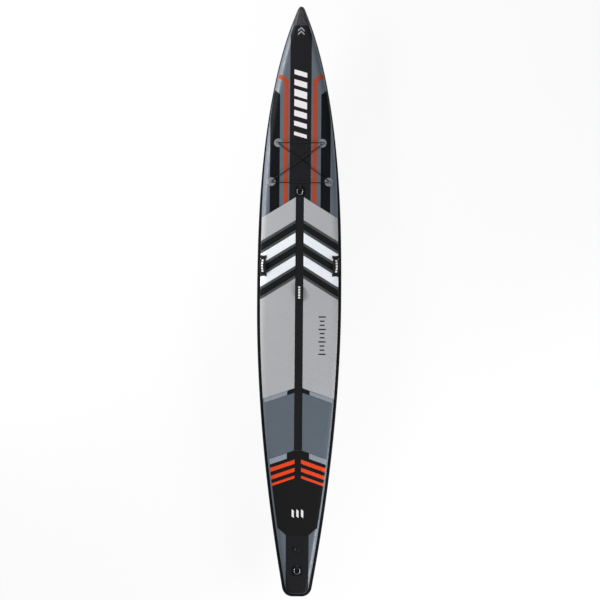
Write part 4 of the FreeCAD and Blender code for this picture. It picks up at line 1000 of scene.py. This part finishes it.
fore = vee_panel(PAD_FRONT, BANDS_FRONT, PAD_INNER, FRONT_INSET, FRONT_VEE_SHARE, FRONT_VEE_SHARE)
aft = vee_panel(bands_back, LIGHT_BACK, PAD_INNER, FRONT_INSET, FRONT_VEE_SHARE, REAR_VEE_SHARE)
split_piece("light_pad", [fore] + cut_plan(aft, notch), "light_foam", "deck_pad")
band_plans = {word: [] for word in band_lengths}
line = BANDS_FRONT
for word in band_order:
    after = line - band_lengths[word]
    band_plans[word].append(vee_panel(line, after, PAD_INNER, FRONT_INSET, FRONT_VEE_SHARE, FRONT_VEE_SHARE))
    line = after
pad_piece("grey_border_pads", band_plans["border"], "border_foam", "pad_grey_borders")
pad_piece("black_band_pads", band_plans["black"], "black_foam", "pad_black_bands")
pad_piece("white_band_pads", band_plans["white"], "white_foam", "pad_white_bands")
pad_piece("light_border_pads", [rear_panel(LIGHT_BACK, upper_back, TAB_REACH + half_groove),
                                rear_panel(SLATE_BACK, lower_back, TAB_REACH + half_groove)],
          "light_border_foam", "pad_light_borders")
pad_piece("black_tab_pads", [rear_panel(LIGHT_BACK, upper_back, PAD_INNER, TAB_REACH - half_groove)],
          "black_foam", "pad_black_tabs")
split_piece("slate_pad", [rear_panel(upper_back, SLATE_BACK, PAD_INNER)], "slate_foam", "pad_slate")
CHEVRON_FRONT = -1144
CHEVRON_SPACE = 27
chevron_lengths = (32, 30, 21)
SPINE_HALF = 23.5
chevron_rows = []
line = CHEVRON_FRONT
for length in chevron_lengths:
    chevron_rows.append((line, line - length))
    line -= length + CHEVRON_SPACE
chevron_plans = [rear_panel(front, back, SPINE_HALF) for front, back in chevron_rows]
pad_piece("orange_chevron_pads", chevron_plans, "orange_foam", "pad_orange_chevrons")


def tail_pad_plan():
    """Black tail pad: tabs and spine ahead, slots for the chevrons at its sides, chamfered back corners."""
    tab = TAB_REACH - half_groove
    spine = SPINE_HALF - GROOVE
    front = SLATE_BACK - half_groove
    shoulder = lower_back - half_groove

    def reach(x):
        return rail_line(x, REAR_INSET)

    def edge_of(line):
        x = rail_corner(line, REAR_VEE_SHARE, reach)
        return x, reach(x)

    def on_line(line, y):
        return vee(line, REAR_VEE_SHARE, y), y

    side = [(front, HALF_STRIP), on_line(front, tab), on_line(shoulder, tab), edge_of(shoulder)]
    for start, end in chevron_rows:
        ahead = start + half_groove
        behind = end - half_groove
        side += [edge_of(ahead), on_line(ahead, spine), on_line(behind, spine), edge_of(behind)]
    last = side[-1][0]
    chamfer = TAIL_PAD_BACK + TAIL_PAD_CHAMFER
    side += [(x, reach(x)) for x in even_run(last, chamfer, 12)] + [(TAIL_PAD_BACK, TAIL_PAD_END / 2)]
    return side + mirrored(reversed(side))


foam_piece("tail_foam", [tail_pad_plan()], "black_foam", "tail_pad")

# Frames for the fittings: a place and three directions.


class Place:
    def __init__(self, origin, along=(1, 0, 0), up=(0, 0, 1)):
        self.origin = Vector(origin)
        self.z = Vector(up).normalized()
        self.x = Vector(along).normalized()
        self.y = self.z.cross(self.x)

    def at(self, x, y, z):
        return self.origin + self.x * x + self.y * y + self.z * z


def deck_frame(x, above=0):
    slope = deck_slope(x)
    up = Vector((-math.sin(slope), 0, math.cos(slope)))
    along = Vector((math.cos(slope), 0, math.sin(slope)))
    return Place(Vector((x, 0, deck_z(x))) + up * above, along, up)


def ring_of(centre, side, up, radius, count=16):
    return [centre + side * x + up * y for x, y in disc_plan(0, 0, radius, count)]


def tube(name, path, radius, finish, count=16, closed=False, **rest):
    """Round tube along a path of points, with no twist."""
    rings = []
    up = Vector((0, 0, 1))
    total = len(path)
    for i, point in enumerate(path):
        before = path[i - 1] if i or closed else point
        after = path[(i + 1) % total] if i < total - 1 or closed else point
        way = (after - before).normalized()
        side = way.cross(up)
        if side.length < 0.01:
            side = way.cross(Vector((1, 0, 0)))
        side.normalize()
        rings.append(ring_of(point, side, side.cross(way), radius, count))
    return looped(name, rings, finish=finish, capped=not closed, **rest)


# Bungee: round patches, one cord through four eyes, and its clamp.

BUNGEE_FRONT = 1148
BUNGEE_BACK = 867
FRONT_HALF = 159
BACK_HALF = 208
PATCH_RADIUS = 31
CORD = 6
EYE_WIRE = 5
EYE_WIDTH = 17
FOOT = 2
eye_bend = EYE_WIRE / 2 + GLUE + CORD / 2
eye_half = (EYE_WIDTH - EYE_WIRE) / 2
cord_low = PATCH_TOP + GLUE + FOOT + GLUE + CORD / 2
cord_high = cord_low + CORD + 2 * GLUE
eye_places = {
    "front_left": Vector((BUNGEE_FRONT, FRONT_HALF, cord_high)),
    "back_right": Vector((BUNGEE_BACK, -BACK_HALF, cord_high)),
    "back_left": Vector((BUNGEE_BACK, BACK_HALF, cord_low)),
    "front_right": Vector((BUNGEE_FRONT, -FRONT_HALF, cord_low)),
}
patch_plans = [disc_plan(spot.x, spot.y, PATCH_RADIUS) for spot in eye_places.values()]
plan_piece("bungee_discs", patch_plans, GLUE, PATCH_TOP, "patch_grey", radius=0.7, cell=(12, 6),
           replaces=("bungee_patches",))


def level_way(start, end):
    return Vector((end.x - start.x, end.y - start.y, 0)).normalized()


def eye_corners():
    """The corners of the cord's route round the legs of the four eyes."""
    eyes = list(eye_places.values())
    spots = eyes
    for _ in range(6):
        made = []
        for i, eye in enumerate(eyes):
            before = level_way(spots[i], spots[i - 1])
            after = level_way(spots[i], spots[(i + 1) % 4])
            pull = (before + after).normalized()
            lean = eye.z * math.sin(deck_slope(eye.x))
            reach = eye_half - eye_bend / math.sin(before.angle(after) / 2)
            made.append(Vector((eye.x - lean, eye.y, deck_z(eye.x) + eye.z)) + pull * reach)
        spots = made
    return spots


def rounded_loop(corners, radius, steps=10, run=30):
    """Closed path of straight runs joined by tangent arcs."""
    arcs = []
    for i, here in enumerate(corners):
        before = (corners[i - 1] - here).normalized()
        after = (corners[(i + 1) % len(corners)] - here).normalized()
        half = before.angle(after) / 2
        centre = here + (before + after).normalized() * (radius / math.sin(half))
        first = here + before * (radius / math.tan(half)) - centre
        last = here + after * (radius / math.tan(half)) - centre
        arcs.append([centre + first.lerp(last, k / steps).normalized() * radius for k in range(steps + 1)])
    made = []
    for arc, following in zip(arcs, arcs[1:] + arcs[:1]):
        start = arc[-1]
        parts = max(2, int((following[0] - start).length / run))
        made += arc + [start.lerp(following[0], k / parts) for k in range(1, parts)]
    return made


cord_corners = eye_corners()
tube("bungee_line", rounded_loop(cord_corners, eye_bend), CORD / 2, "cord_black", closed=True,
     replaces=("bungee_cord",))

# Places along the crimped sleeve and its radius there, with two pressed rings.

SLEEVE = ((-12, 3.2), (-12, 4.4), (-11.2, 5), (-6, 5), (-5, 4.3), (-3.6, 4.3), (-2.6, 5),
          (2.6, 5), (3.6, 4.3), (5, 4.3), (6, 5), (11.2, 5), (12, 4.4), (12, 3.2))


def bungee_sleeve():
    start = cord_corners[0]
    end = cord_corners[3]
    way = (end - start).normalized()
    middle = (start + end) / 2
    side = way.cross(Vector((0, 0, 1))).normalized()
    up = side.cross(way)
    rings = [ring_of(middle + way * along, side, up, radius, 24) for along, radius in SLEEVE]
    looped("bungee_sleeve", rings, finish="clamp_black", capped=False, replaces=("bungee_clamp",))


bungee_sleeve()

# D-rings: patch, sewn webbing loop, and the frame's own steel ring.

RING_WIRE = 5
WEBBING = 1.5
WEBBING_WIDTH = 25
STRAP_SOFT_SHARE = 0.35
bar_height = GLUE + WEBBING + RING_WIRE / 2


def ribbon(name, place, path, width, thick, finish, **rest):
    """Flat strap along a path in a frame's upright plane; the path is its middle line."""
    rings = []
    soft = thick * STRAP_SOFT_SHARE
    half = width / 2
    flat = thick / 2
    upper = [(-half, flat - soft), (-half + soft, flat), (0, flat), (half - soft, flat), (half, flat - soft)]
    section = upper + [(y, -out) for y, out in reversed(upper)]
    for i, (x, z) in enumerate(path):
        before = Vector(path[max(0, i - 1)])
        after = Vector(path[min(len(path) - 1, i + 1)])
        way = (after - before).normalized()
        rings.append([place.at(x - way.y * out, y, z + way.x * out) for y, out in section])
    return looped(name, rings, finish=finish, **rest)


STITCH = 3.2
STITCH_GAP_SHARE = 0.15
THREAD_HALF = 0.35
THREAD_SUNK = 0.2
THREAD_CROWN = 0.1


def stitches(name, place, height, rows):
    """Small thread bars along lines of a frame's plan, a little proud of what they are sewn through."""
    runs = []
    for row_start, row_end in rows:
        start = Vector(row_start)
        end = Vector(row_end)
        side = (end - start).normalized().orthogonal() * THREAD_HALF
        count = max(1, round((end - start).length / STITCH))
        for i in range(count):
            one = start.lerp(end, (i + STITCH_GAP_SHARE) / count)
            two = start.lerp(end, (i + 1 - STITCH_GAP_SHARE) / count)
            run = []
            for spot, rise in ((one, 0), ((one + two) / 2, THREAD_HALF), (two, 0)):
                crown = THREAD_CROWN + rise
                section = ((-1, -THREAD_SUNK), (-0.5, crown), (0.5, crown), (1, -THREAD_SUNK))
                run.append([place.at(spot.x + side.x * share, spot.y + side.y * share, height + level)
                            for share, level in section])
            runs.append(run)
    return looped(name, *runs, finish="thread", slot="webbing")


WEBBING_TAIL = (34, 22, 10, 2)
WEBBING_LAP = (15, 24, 34)


def webbing_path():
    """Middle line of the webbing: flat tail, up and round the ring's bar, and back over itself."""
    radius = RING_WIRE / 2 + GLUE + WEBBING / 2
    path = [(x, WEBBING / 2) for x in WEBBING_TAIL]
    for degrees in range(-75, -285, -15):
        angle = math.radians(degrees)
        path.append((radius * math.cos(angle), bar_height + radius * math.sin(angle)))
    path += [(7, bar_height + 0.9), (11, WEBBING * 2 + 0.1)]
    return path + [(x, WEBBING * 1.5) for x in WEBBING_LAP]


RING_BASE = (74, 78, 18)
RING_BASE_SHIFT = 16
PATCH_SEAM = (66, 70, 14)
SEAM_BOX = (15, 31)
SEAM_EDGE = 3

for word, x in (("centre", 813), ("stern", -1933)):
    plan_piece(f"{word}_ring_base", [rounded_rectangle(x - RING_BASE_SHIFT, 0, *RING_BASE)], GLUE, PATCH_TOP,
               "patch_dark", radius=0.6, cell=(15, 8), replaces=(f"{word}_ring_patch",))
    seat = deck_frame(x, PATCH_TOP + GLUE)
    ribbon(f"{word}_ring_strap", seat, webbing_path(), WEBBING_WIDTH, WEBBING, "webbing",
           replaces=(f"{word}_ring_webbing",))
    half = WEBBING_WIDTH / 2 - SEAM_EDGE
    near, far = SEAM_BOX
    spots = ((near, -half), (far, -half), (far, half), (near, half))
    rows = list(zip(spots, spots[1:] + spots[:1])) + [(spots[0], spots[2]), (spots[3], spots[1])]
    stitches(f"{word}_ring_stitches", seat, WEBBING * 2, rows)
    border = rounded_rectangle(-RING_BASE_SHIFT, 0, *PATCH_SEAM)
    stitches(f"{word}_patch_stitches", deck_frame(x, PATCH_TOP), 0, zip(border, border[1:] + border[:1]))

# Carry handles: moulded ends, webbing strap and padded grip.

HANDLE_LENGTH = 155
END_LENGTH = 24
END_WIDTH = 48
END_HEIGHT = 3
END_CORNER = 8
BRIDGE = 9
BRIDGE_SIDE = 2
BRIDGE_CORNER = 3
BRIDGE_ROOF = 1.6
BEND = 18
STRAP_WIDTH = 38
STRAP = 2
HANDLE_RISE = 27
GRIP_THICK = 12
GRIP_WIDTH = 46
GRIP_HALF_ANGLE = 43
GRIP_SQUARE_SIDES = 0.62
GRIP_SQUARE_TOP = 0.72
CENTRE_HANDLE = 66
SIDE_HANDLE = 258
SIDE_HANDLE_INSET = 44
chord_half = HANDLE_LENGTH / 2 - END_LENGTH
strap_middle = END_HEIGHT + STRAP / 2
arch_radius = (chord_half ** 2 + HANDLE_RISE ** 2) / (2 * HANDLE_RISE)
arch_centre = strap_middle + HANDLE_RISE - arch_radius


def handle_frame(side):
    """On the centre strip in the middle, or square to the shoulder at a side."""
    if not side:
        return Place((CENTRE_HANDLE, 0, THICKNESS + PATCH_TOP))
    wide = rail_half(SIDE_HANDLE)
    high = THICKNESS / 2
    angle = math.acos(1 - SIDE_HANDLE_INSET / wide)
    tilt = math.atan2(math.cos(angle) / wide, math.sin(angle) / high)
    across_y = half_width(SIDE_HANDLE) - (wide - (wide + GLUE) * math.cos(angle))
    height = high + (high + GLUE) * math.sin(angle)
    return Place((SIDE_HANDLE, side * across_y, height), up=(0, side * math.sin(tilt), math.cos(tilt)))


def arch_point(degrees, radius):
    angle = math.radians(degrees)
    return radius * math.sin(angle), arch_centre + radius * math.cos(angle)


# Places along the strap's first end, and how far it has risen there.

STRAP_ENDS = ((-74, 0), (-66, 0), (-60, 0.3), (-56, 2.4))


def strap_path():
    """Flat on both ends, then up over the arch in soft bends."""
    lead = [(x, strap_middle + rise) for x, rise in STRAP_ENDS]
    arch = [arch_point(degrees, arch_radius) for degrees in range(-49, 50, 7)]
    return lead + arch + [(-x, z) for x, z in reversed(lead)]


def handle_end_plan(way):
    return rounded_rectangle(way * (HANDLE_LENGTH - END_LENGTH) / 2, 0, END_LENGTH, END_WIDTH, END_CORNER)


def handle_ends(word, side, place):
    """Moulded ends: a base on the hull and a raised bridge over the strap."""
    def under(x, y):
        spot = place.at(x, y, 0)
        return hull_top(spot.x, spot.y, GLUE) if side else spot

    plan_piece(f"{word}_handle_bases", [handle_end_plan(1), handle_end_plan(-1)], 0, END_HEIGHT - 0.1,
               "handle_plastic", radius=1.1, cell=(8, 6), surface=place.at, under=under,
               replaces=(f"{word}_handle_ends",))
    bridge_x = HANDLE_LENGTH / 2 - BRIDGE
    bridges = [rounded_rectangle(x, 0, BRIDGE, END_WIDTH - 2 * BRIDGE_SIDE, BRIDGE_CORNER)
               for x in (bridge_x, -bridge_x)]
    plan_piece(f"{word}_handle_bridges", bridges, END_HEIGHT - 1, END_HEIGHT + STRAP + BRIDGE_ROOF,
               "handle_plastic", radius=1.3, cell=(6, 6), surface=place.at)


def grip_ring(place, degrees, thick, width):
    """Cross-section of the padded sleeve: a soft oblong round the strap."""
    x, z = arch_point(degrees, arch_radius)
    angle = math.radians(degrees)
    out = Vector((math.sin(angle), math.cos(angle)))
    ring = []
    for spot_y, spot_z in disc_plan(0, 0, 1, 32):
        y = width / 2 * math.copysign(abs(spot_y) ** GRIP_SQUARE_SIDES, spot_y)
        rise = thick / 2 * math.copysign(abs(spot_z) ** GRIP_SQUARE_TOP, spot_z)
        ring.append(place.at(x + out.x * rise, y, z + out.y * rise))
    return ring


# Degrees in from the grip's end, and the shares of its thickness and width there: hem, then the full body.

GRIP_END = ((0, 0.30, 0.86), (0.2, 0.46, 0.92), (0.8, 0.60, 0.95), (2.2, 0.64, 0.96), (3, 0.58, 0.95),
            (3.8, 0.72, 0.97), (6, 0.90, 0.99), (10, 0.98, 1), (20, 1, 1))


def handle_grip(word, place):
    """Padded sleeve, fullest in the middle, drawn in at the hems of its two ends."""
    half = [(GRIP_HALF_ANGLE - degrees, thick, width) for degrees, thick, width in GRIP_END]
    whole = [(-degrees, thick, width) for degrees, thick, width in half] + [(0, 1, 1)] + half[::-1]
    rings = [grip_ring(place, degrees, GRIP_THICK * thick, GRIP_WIDTH * width)
             for degrees, thick, width in whole]
    made = looped(f"{word}_grip_pad", rings, finish="grip_foam", body=f"{word}_grip",
                  replaces=(f"{word}_handle_grip",), sharp=60)


MARK_PLACES = (-32, -16, 0, 16, 32)
MARK_ACROSS = (-7, -2.4, 2.4, 7)
MARK_LIFT = 0.25
MARK_SUNK = 0.6


def grip_marks(word, place):
    """Plain pale dashes printed along the top of the grip."""
    runs = []
    for middle in MARK_PLACES:
        run = []
        for degrees in range(middle - 6, middle + 7, 2):
            x, z = arch_point(degrees, arch_radius + GRIP_THICK / 2 + MARK_LIFT)
            top = [place.at(x, y, z) for y in MARK_ACROSS]
            run.append(top + [spot - place.z * MARK_SUNK for spot in reversed(top)])
        runs.append(run)
    looped(f"{word}_grip_marks", *runs, finish="print_white", body=f"{word}_grip", slot="grip_foam")


for word, side in (("centre", 0), ("left", 1), ("right", -1)):
    place = handle_frame(side)
    handle_ends(word, side, place)
    strap_piece = ribbon(f"{word}_strap", place, strap_path(), STRAP_WIDTH, STRAP, "webbing", body=None,
                         replaces=(f"{word}_handle_strap",))
    start = place.at(0, 0, END_HEIGHT + STRAP) * MM
    end = place.at(0, 0, END_HEIGHT + STRAP + BEND) * MM
    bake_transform(strap_piece)
    handle_grip(word, place)
    grip_marks(word, place)

# Valve: cap with a knurled rim and a wing, tether, spring; the frame's own body, nut, stem and seals.

VALVE = -1797
CAP_RADIUS = 21
CAP_LOW = 5.3
CAP_HEIGHT = 4.5
PLUG = 8
PLUG_RADIUS = 14.7

# Radius of the cap and its height over the cap's foot: plug with a groove for the seal, rim, dished top.

CAP_PROFILE = ((0.01, -PLUG), (13.6, -PLUG), (PLUG_RADIUS, 1 - PLUG), (PLUG_RADIUS, -4.7), (13.5, -4.7),
               (13.5, -3.3), (PLUG_RADIUS, -3.3), (PLUG_RADIUS, 0), (20.2, 0), (CAP_RADIUS, 0.7),
               (CAP_RADIUS, 3.6), (20, CAP_HEIGHT), (17.5, CAP_HEIGHT), (16.8, CAP_HEIGHT - 0.8),
               (0.01, CAP_HEIGHT - 0.8))
KNURLS = 36
KNURL = 0.55
KNURLS_FROM = 20.5
WING = (31, 6, 2.8)
WING_LOW = 3
WING_HIGH = CAP_HEIGHT + 4
TETHER = 1.2
TETHER_PLAN = [(-29.5, 3.2), (-29.9, 1.6), (-29.9, -1.6), (-29.5, -3.2), (-23.6, -3.4), (-21.6, -2),
               (-21.6, 2), (-23.6, 3.4)]


def valve_cap():
    place = deck_frame(VALVE)
    count = 4 * KNURLS
    rings = []
    for radius, height in CAP_PROFILE:
        ring = []
        for k in range(count):
            angle = 2 * math.pi * k / count
            worn = KNURL * max(0, math.sin(KNURLS * angle)) if radius > KNURLS_FROM else 0
            ring.append(place.at((radius - worn) * math.cos(angle), (radius - worn) * math.sin(angle),
                                 CAP_LOW + height))
        rings.append(ring)
    looped("valve_lid_cap", rings, finish="valve_plastic", body="valve_lid", replaces=("valve_cap",),
           sharp=50)
    plan_piece("valve_lid_wing", [rounded_rectangle(0, 0, *WING)], CAP_LOW + WING_LOW, CAP_LOW + WING_HIGH,
               "valve_plastic", radius=1.4, cell=(8, 3), surface=place.at, body="valve_lid")


def valve_tether():
    """Short strap from the post on the flange to the cap's rim."""
    place = deck_frame(VALVE)
    low = CAP_LOW + 0.1
    made = plan_piece("valve_tether", [TETHER_PLAN], low, low + TETHER, "seal_rubber", radius=0.4,
                      cell=(1.5, 2), surface=place.at, body=None, replaces=("cap_tether",))
    place.at(-27, 0, 0) * MM
    place.at(-21.6, 0, 0) * MM
    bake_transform(made)


SPRING_TURNS = 5
SPRING_RADIUS = 4.9
SPRING_LOW = -23.4
SPRING_RISE = 11.6


def valve_spring():
    place = deck_frame(VALVE)
    low = SPRING_LOW - 0.5
    steps = 28
    path = []
    for i in range(SPRING_TURNS * steps + 1):
        angle = 2 * math.pi * i / steps
        height = SPRING_LOW + SPRING_RISE * i / (SPRING_TURNS * steps)
        path.append(place.at(SPRING_RADIUS * math.cos(angle), SPRING_RADIUS * math.sin(angle), height))
    made = tube("valve_coil", path, 0.5, "spring_steel", count=8, replaces=("valve_spring",))
    place.at(0, 0, low) * MM
    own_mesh(made)


valve_cap()
valve_tether()
valve_spring()

# Fin: a foil with a tab in the box.

FIN_X = -1720
FIN_LEVEL = -1.8
BOX_HEIGHT = 32
TAB_LENGTH = 192
TONGUE = 16
TAB_HALF = 4.45
TAB_HEIGHT = 22
TAB_CORNER = 1.6
TONGUE_LAP = 4
TONGUE_HEIGHT = 3.4
FIN_BASE = 186
FIN_DEPTH = 198
FIN_RAKE = 96
TIP_LENGTH = 52
FIN_THICK = 7
BOX_PATCH = (382, 107, 26)
tab_front = (TAB_LENGTH + TONGUE) / 2 - TONGUE
tab_back = tab_front - TAB_LENGTH


def curve_through(first, middle, last, share):
    """Point on the curve that passes three spots, at a share of the way."""
    one = 2 * (share - 0.5) * (share - 1)
    two = -4 * share * (share - 1)
    three = 2 * share * (share - 0.5)
    return first * one + middle * two + last * three


# Thickness of the blade's section: factors of the run along it, each with the power the run is raised to.

SECTION_SERIES = ((0.2969, 0.5), (-0.126, 1), (-0.3516, 2), (0.2843, 3), (-0.1036, 4))
SECTION_GAIN = 10
BLADE_EDGE = 0.35
BLADE_ROWS = 30
BLADE_COLUMNS = 20
TIP_SHARE = 0.14
TIP_CENTRE_SHARE = 0.55
TIP_THIN_SHARE = 0.55
box_mouth = FIN_LEVEL - BOX_HEIGHT


def blade_ring(fore_point, rear_point, thick):
    """Section of the blade between its leading and trailing points."""
    ring = []
    for k in range(BLADE_COLUMNS * 2):
        run = (1 - math.cos(math.pi * k / BLADE_COLUMNS)) / 2
        swell = SECTION_GAIN * sum(gain * run ** power for gain, power in SECTION_SERIES)
        spot = fore_point.lerp(rear_point, run)
        side = 1 if k < BLADE_COLUMNS else -1
        y = side * max(BLADE_EDGE, thick / 2 * min(1, swell)) if k % BLADE_COLUMNS else 0
        ring.append(Vector((FIN_X + spot.x, y, spot.y)))
    return ring


def foil():
    """Fin blade with a round nose and thin trailing edge, thinner and shorter to its tip."""
    root = box_mouth - GLUE
    lead = Vector((tab_back + FIN_BASE, root))
    trail = Vector((tab_back, root))
    tip_back = Vector((tab_back - FIN_RAKE, root - FIN_DEPTH))
    tip_front = tip_back + Vector((TIP_LENGTH, 0))
    lead_middle = (lead + tip_front) / 2 + Vector((0.2, -0.17)) * FIN_RAKE
    trail_middle = (trail + tip_back) / 2 + Vector((0.2, -0.1)) * FIN_RAKE
    rings = []
    for i in range(BLADE_ROWS + 1):
        share = i / BLADE_ROWS
        fore_point = curve_through(lead, lead_middle, tip_front, share)
        rear_point = curve_through(trail, trail_middle, tip_back, share)
        centre = fore_point.lerp(rear_point, TIP_CENTRE_SHARE)
        near_tip = max(0, 1 - (1 - share) / TIP_SHARE)
        round_off = math.sqrt(max(0.02, 1 - near_tip ** 2))
        rings.append(blade_ring(centre + (fore_point - centre) * round_off,
                                centre + (rear_point - centre) * round_off,
                                FIN_THICK * (1 - TIP_THIN_SHARE * share) * round_off))
    looped("fin_blade", rings, finish="fin_plastic", body="fin_unit", replaces=("fin",), sharp=50)


def fin_tab():
    def upright(x, y, lift):
        return Vector((FIN_X + x, y, box_mouth + lift))

    for name, start, end, height, radius, cell in (
            ("fin_tab", tab_back, tab_front, TAB_HEIGHT, 1, (24, 4)),
            ("fin_tongue", tab_front - TONGUE_LAP, tab_front + TONGUE, TONGUE_HEIGHT, 0.6, (6, 4))):
        outline = rounded_rectangle((start + end) / 2, 0, end - start, 2 * TAB_HALF, TAB_CORNER, 3)
        plan_piece(name, [outline], 0, height, "fin_plastic", radius=radius, cell=cell, surface=upright,
                   body="fin_unit")


foil()
fin_tab()


def under_hull(x, y, lift):
    return Vector((FIN_X + x, y, -lift))


plan_piece("fin_box_base", [rounded_rectangle(0, 0, *BOX_PATCH)], GLUE, PATCH_TOP, "patch_dark", radius=0.6,
           cell=(30, 14), surface=under_hull, replaces=("fin_box_patch",))

# Plain marks on the pads and two small pale chevrons on the cap end of the nose band.

TAIL_DASH_X = -1534
SCALE_FRONT = -110
SCALE_PITCH = 30
SCALE_Y = -168
CHEVRON_TIPS = (1986, 1960)
CHEVRON_WIDTH = 24
CHEVRON_FALL = 22
CHEVRON_THICK = 12


def on_pad(x, y, lift):
    return hull_top(x, y, PAD_HIGH + lift)


dashes = [slanted_bar(TAIL_DASH_X, y, 52, 16, 12) for y in (34, 0, -34)]
printed("tail_mark_prints", dashes, "print_white", surface=on_pad)
scale_marks = [slanted_bar(SCALE_FRONT - SCALE_PITCH * i, SCALE_Y, 9, 34 if i % 3 else 52, 0)
               for i in range(10)]
printed("scale_mark_prints", scale_marks, "print_black", surface=on_pad)


def nose_chevron(x):
    side = [(x, 0), (x - CHEVRON_FALL, CHEVRON_WIDTH), (x - CHEVRON_FALL - CHEVRON_THICK, CHEVRON_WIDTH),
            (x - CHEVRON_THICK, 0)]
    return side + mirrored(reversed(side[1:3]))


printed("nose_chevron_prints", [nose_chevron(x) for x in CHEVRON_TIPS], "print_grey",
        surface=raised(PRINT_HIGH))

# Studio: pale floor, soft even light from port and above, camera straight above.

FLOOR = -232.3
FLOOR_REACH = 30
PICTURE_SCALE = 7.236
PHOTO_CENTRE_X = 11.9
PHOTO_CENTRE_Y = -6.3
ROLL = 0.46
CAMERA_HEIGHT = 100000
SENSOR = 36
SKY = 0.3
GLOW_SHARE = 0.9

# Place, power, length and depth of every lamp.

LAMPS = (
    ("nose_lamp", (1900, 2900, 2300), 140, 2600, 1200),
    ("tail_lamp", (-2900, -2600, 2000), 125, 2000, 1200),
    ("port_strip", (1100, 3200, 550), 50, 3000, 400),
    ("starboard_strip", (-1400, -3200, 550), 25, 3000, 500),
)


def seen_by(tree, *rays):
    """1 for either kind of ray, 0 for all others."""
    path = tree.nodes.new("ShaderNodeLightPath")
    either = tree.nodes.new("ShaderNodeMath")
    either.operation = "MAXIMUM"
    for socket, name in zip(either.inputs, rays):
        tree.links.new(path.outputs[name], socket)
    return either.outputs[0]


def shining(tree, kind, colour, strength):
    node = tree.nodes.new(kind)
    node.inputs["Color"].default_value = (*colour, 1)
    node.inputs["Strength"].default_value = strength
    return node.outputs[0]


def give_out(tree, output, *sources):
    """Two shaders mixed by a share, as what the tree gives out."""
    mix = tree.nodes.new("ShaderNodeMixShader")
    for source, socket in zip(sources, mix.inputs):
        tree.links.new(source, socket)
    tree.links.new(mix.outputs["Shader"], tree.nodes.new(output).inputs["Surface"])


def cleared(made):
    made.use_nodes = True
    made.node_tree.nodes.clear()
    return made.node_tree


def floor_material():
    made = bpy.data.materials.new("floor")
    tree = cleared(made)
    diffuse = tree.nodes.new("ShaderNodeBsdfDiffuse")
    diffuse.inputs["Color"].default_value = (0.86, 0.86, 0.86, 1)
    share = tree.nodes.new("ShaderNodeMath")
    share.operation = "MULTIPLY"
    share.inputs[1].default_value = GLOW_SHARE
    tree.links.new(seen_by(tree, "Is Camera Ray", "Is Glossy Ray"), share.inputs[0])
    give_out(tree, "ShaderNodeOutputMaterial", share.outputs[0], diffuse.outputs["BSDF"],
             shining(tree, "ShaderNodeEmission", (1, 1, 1), 1))
    return made


def studio():
    data = bpy.data.meshes.new("floor")
    level = FLOOR * MM
    corners = [(x * FLOOR_REACH, y * FLOOR_REACH, level) for x, y in ((-1, -1), (1, -1), (1, 1), (-1, 1))]
    data.from_pydata(corners, [], [(0, 1, 2, 3)])
    floor = placed("floor", data)
    data.materials.append(floor_material())

    world = bpy.data.worlds.new("world")
    bpy.context.scene.world = world
    tree = cleared(world)
    give_out(tree, "ShaderNodeOutputWorld", seen_by(tree, "Is Camera Ray", "Is Transmission Ray"),
             shining(tree, "ShaderNodeBackground", (0.93, 0.965, 1), SKY),
             shining(tree, "ShaderNodeBackground", (1, 1, 1), 1))

    for name, place, energy, length, depth in LAMPS:
        lamp = bpy.data.lights.new(name, "AREA")
        lamp.energy = energy
        lamp.shape = "RECTANGLE"
        lamp.size = length * MM
        lamp.size_y = depth * MM
        made = placed(name, lamp)
        made.location = Vector(place) * MM
        made.rotation_euler = Vector((0, place[1], place[2])).to_track_quat("Z", "Y").to_euler()
        made.visible_camera = False


def camera():
    data = bpy.data.cameras.new("camera")
    data.sensor_width = SENSOR
    data.sensor_height = SENSOR
    distance = CAMERA_HEIGHT - THICKNESS
    data.lens = SENSOR * distance / (PICTURE_SCALE * PHOTO_SIZE)
    data.clip_end = 300
    made = placed("camera", data)
    made.location = Vector((PHOTO_CENTRE_X, PHOTO_CENTRE_Y, CAMERA_HEIGHT)) * MM
    made.rotation_euler = (0, 0, math.radians(-90 + ROLL))
    bpy.context.scene.camera = made


studio()
camera()
bpy.context.scene.view_settings.view_transform = "Standard"
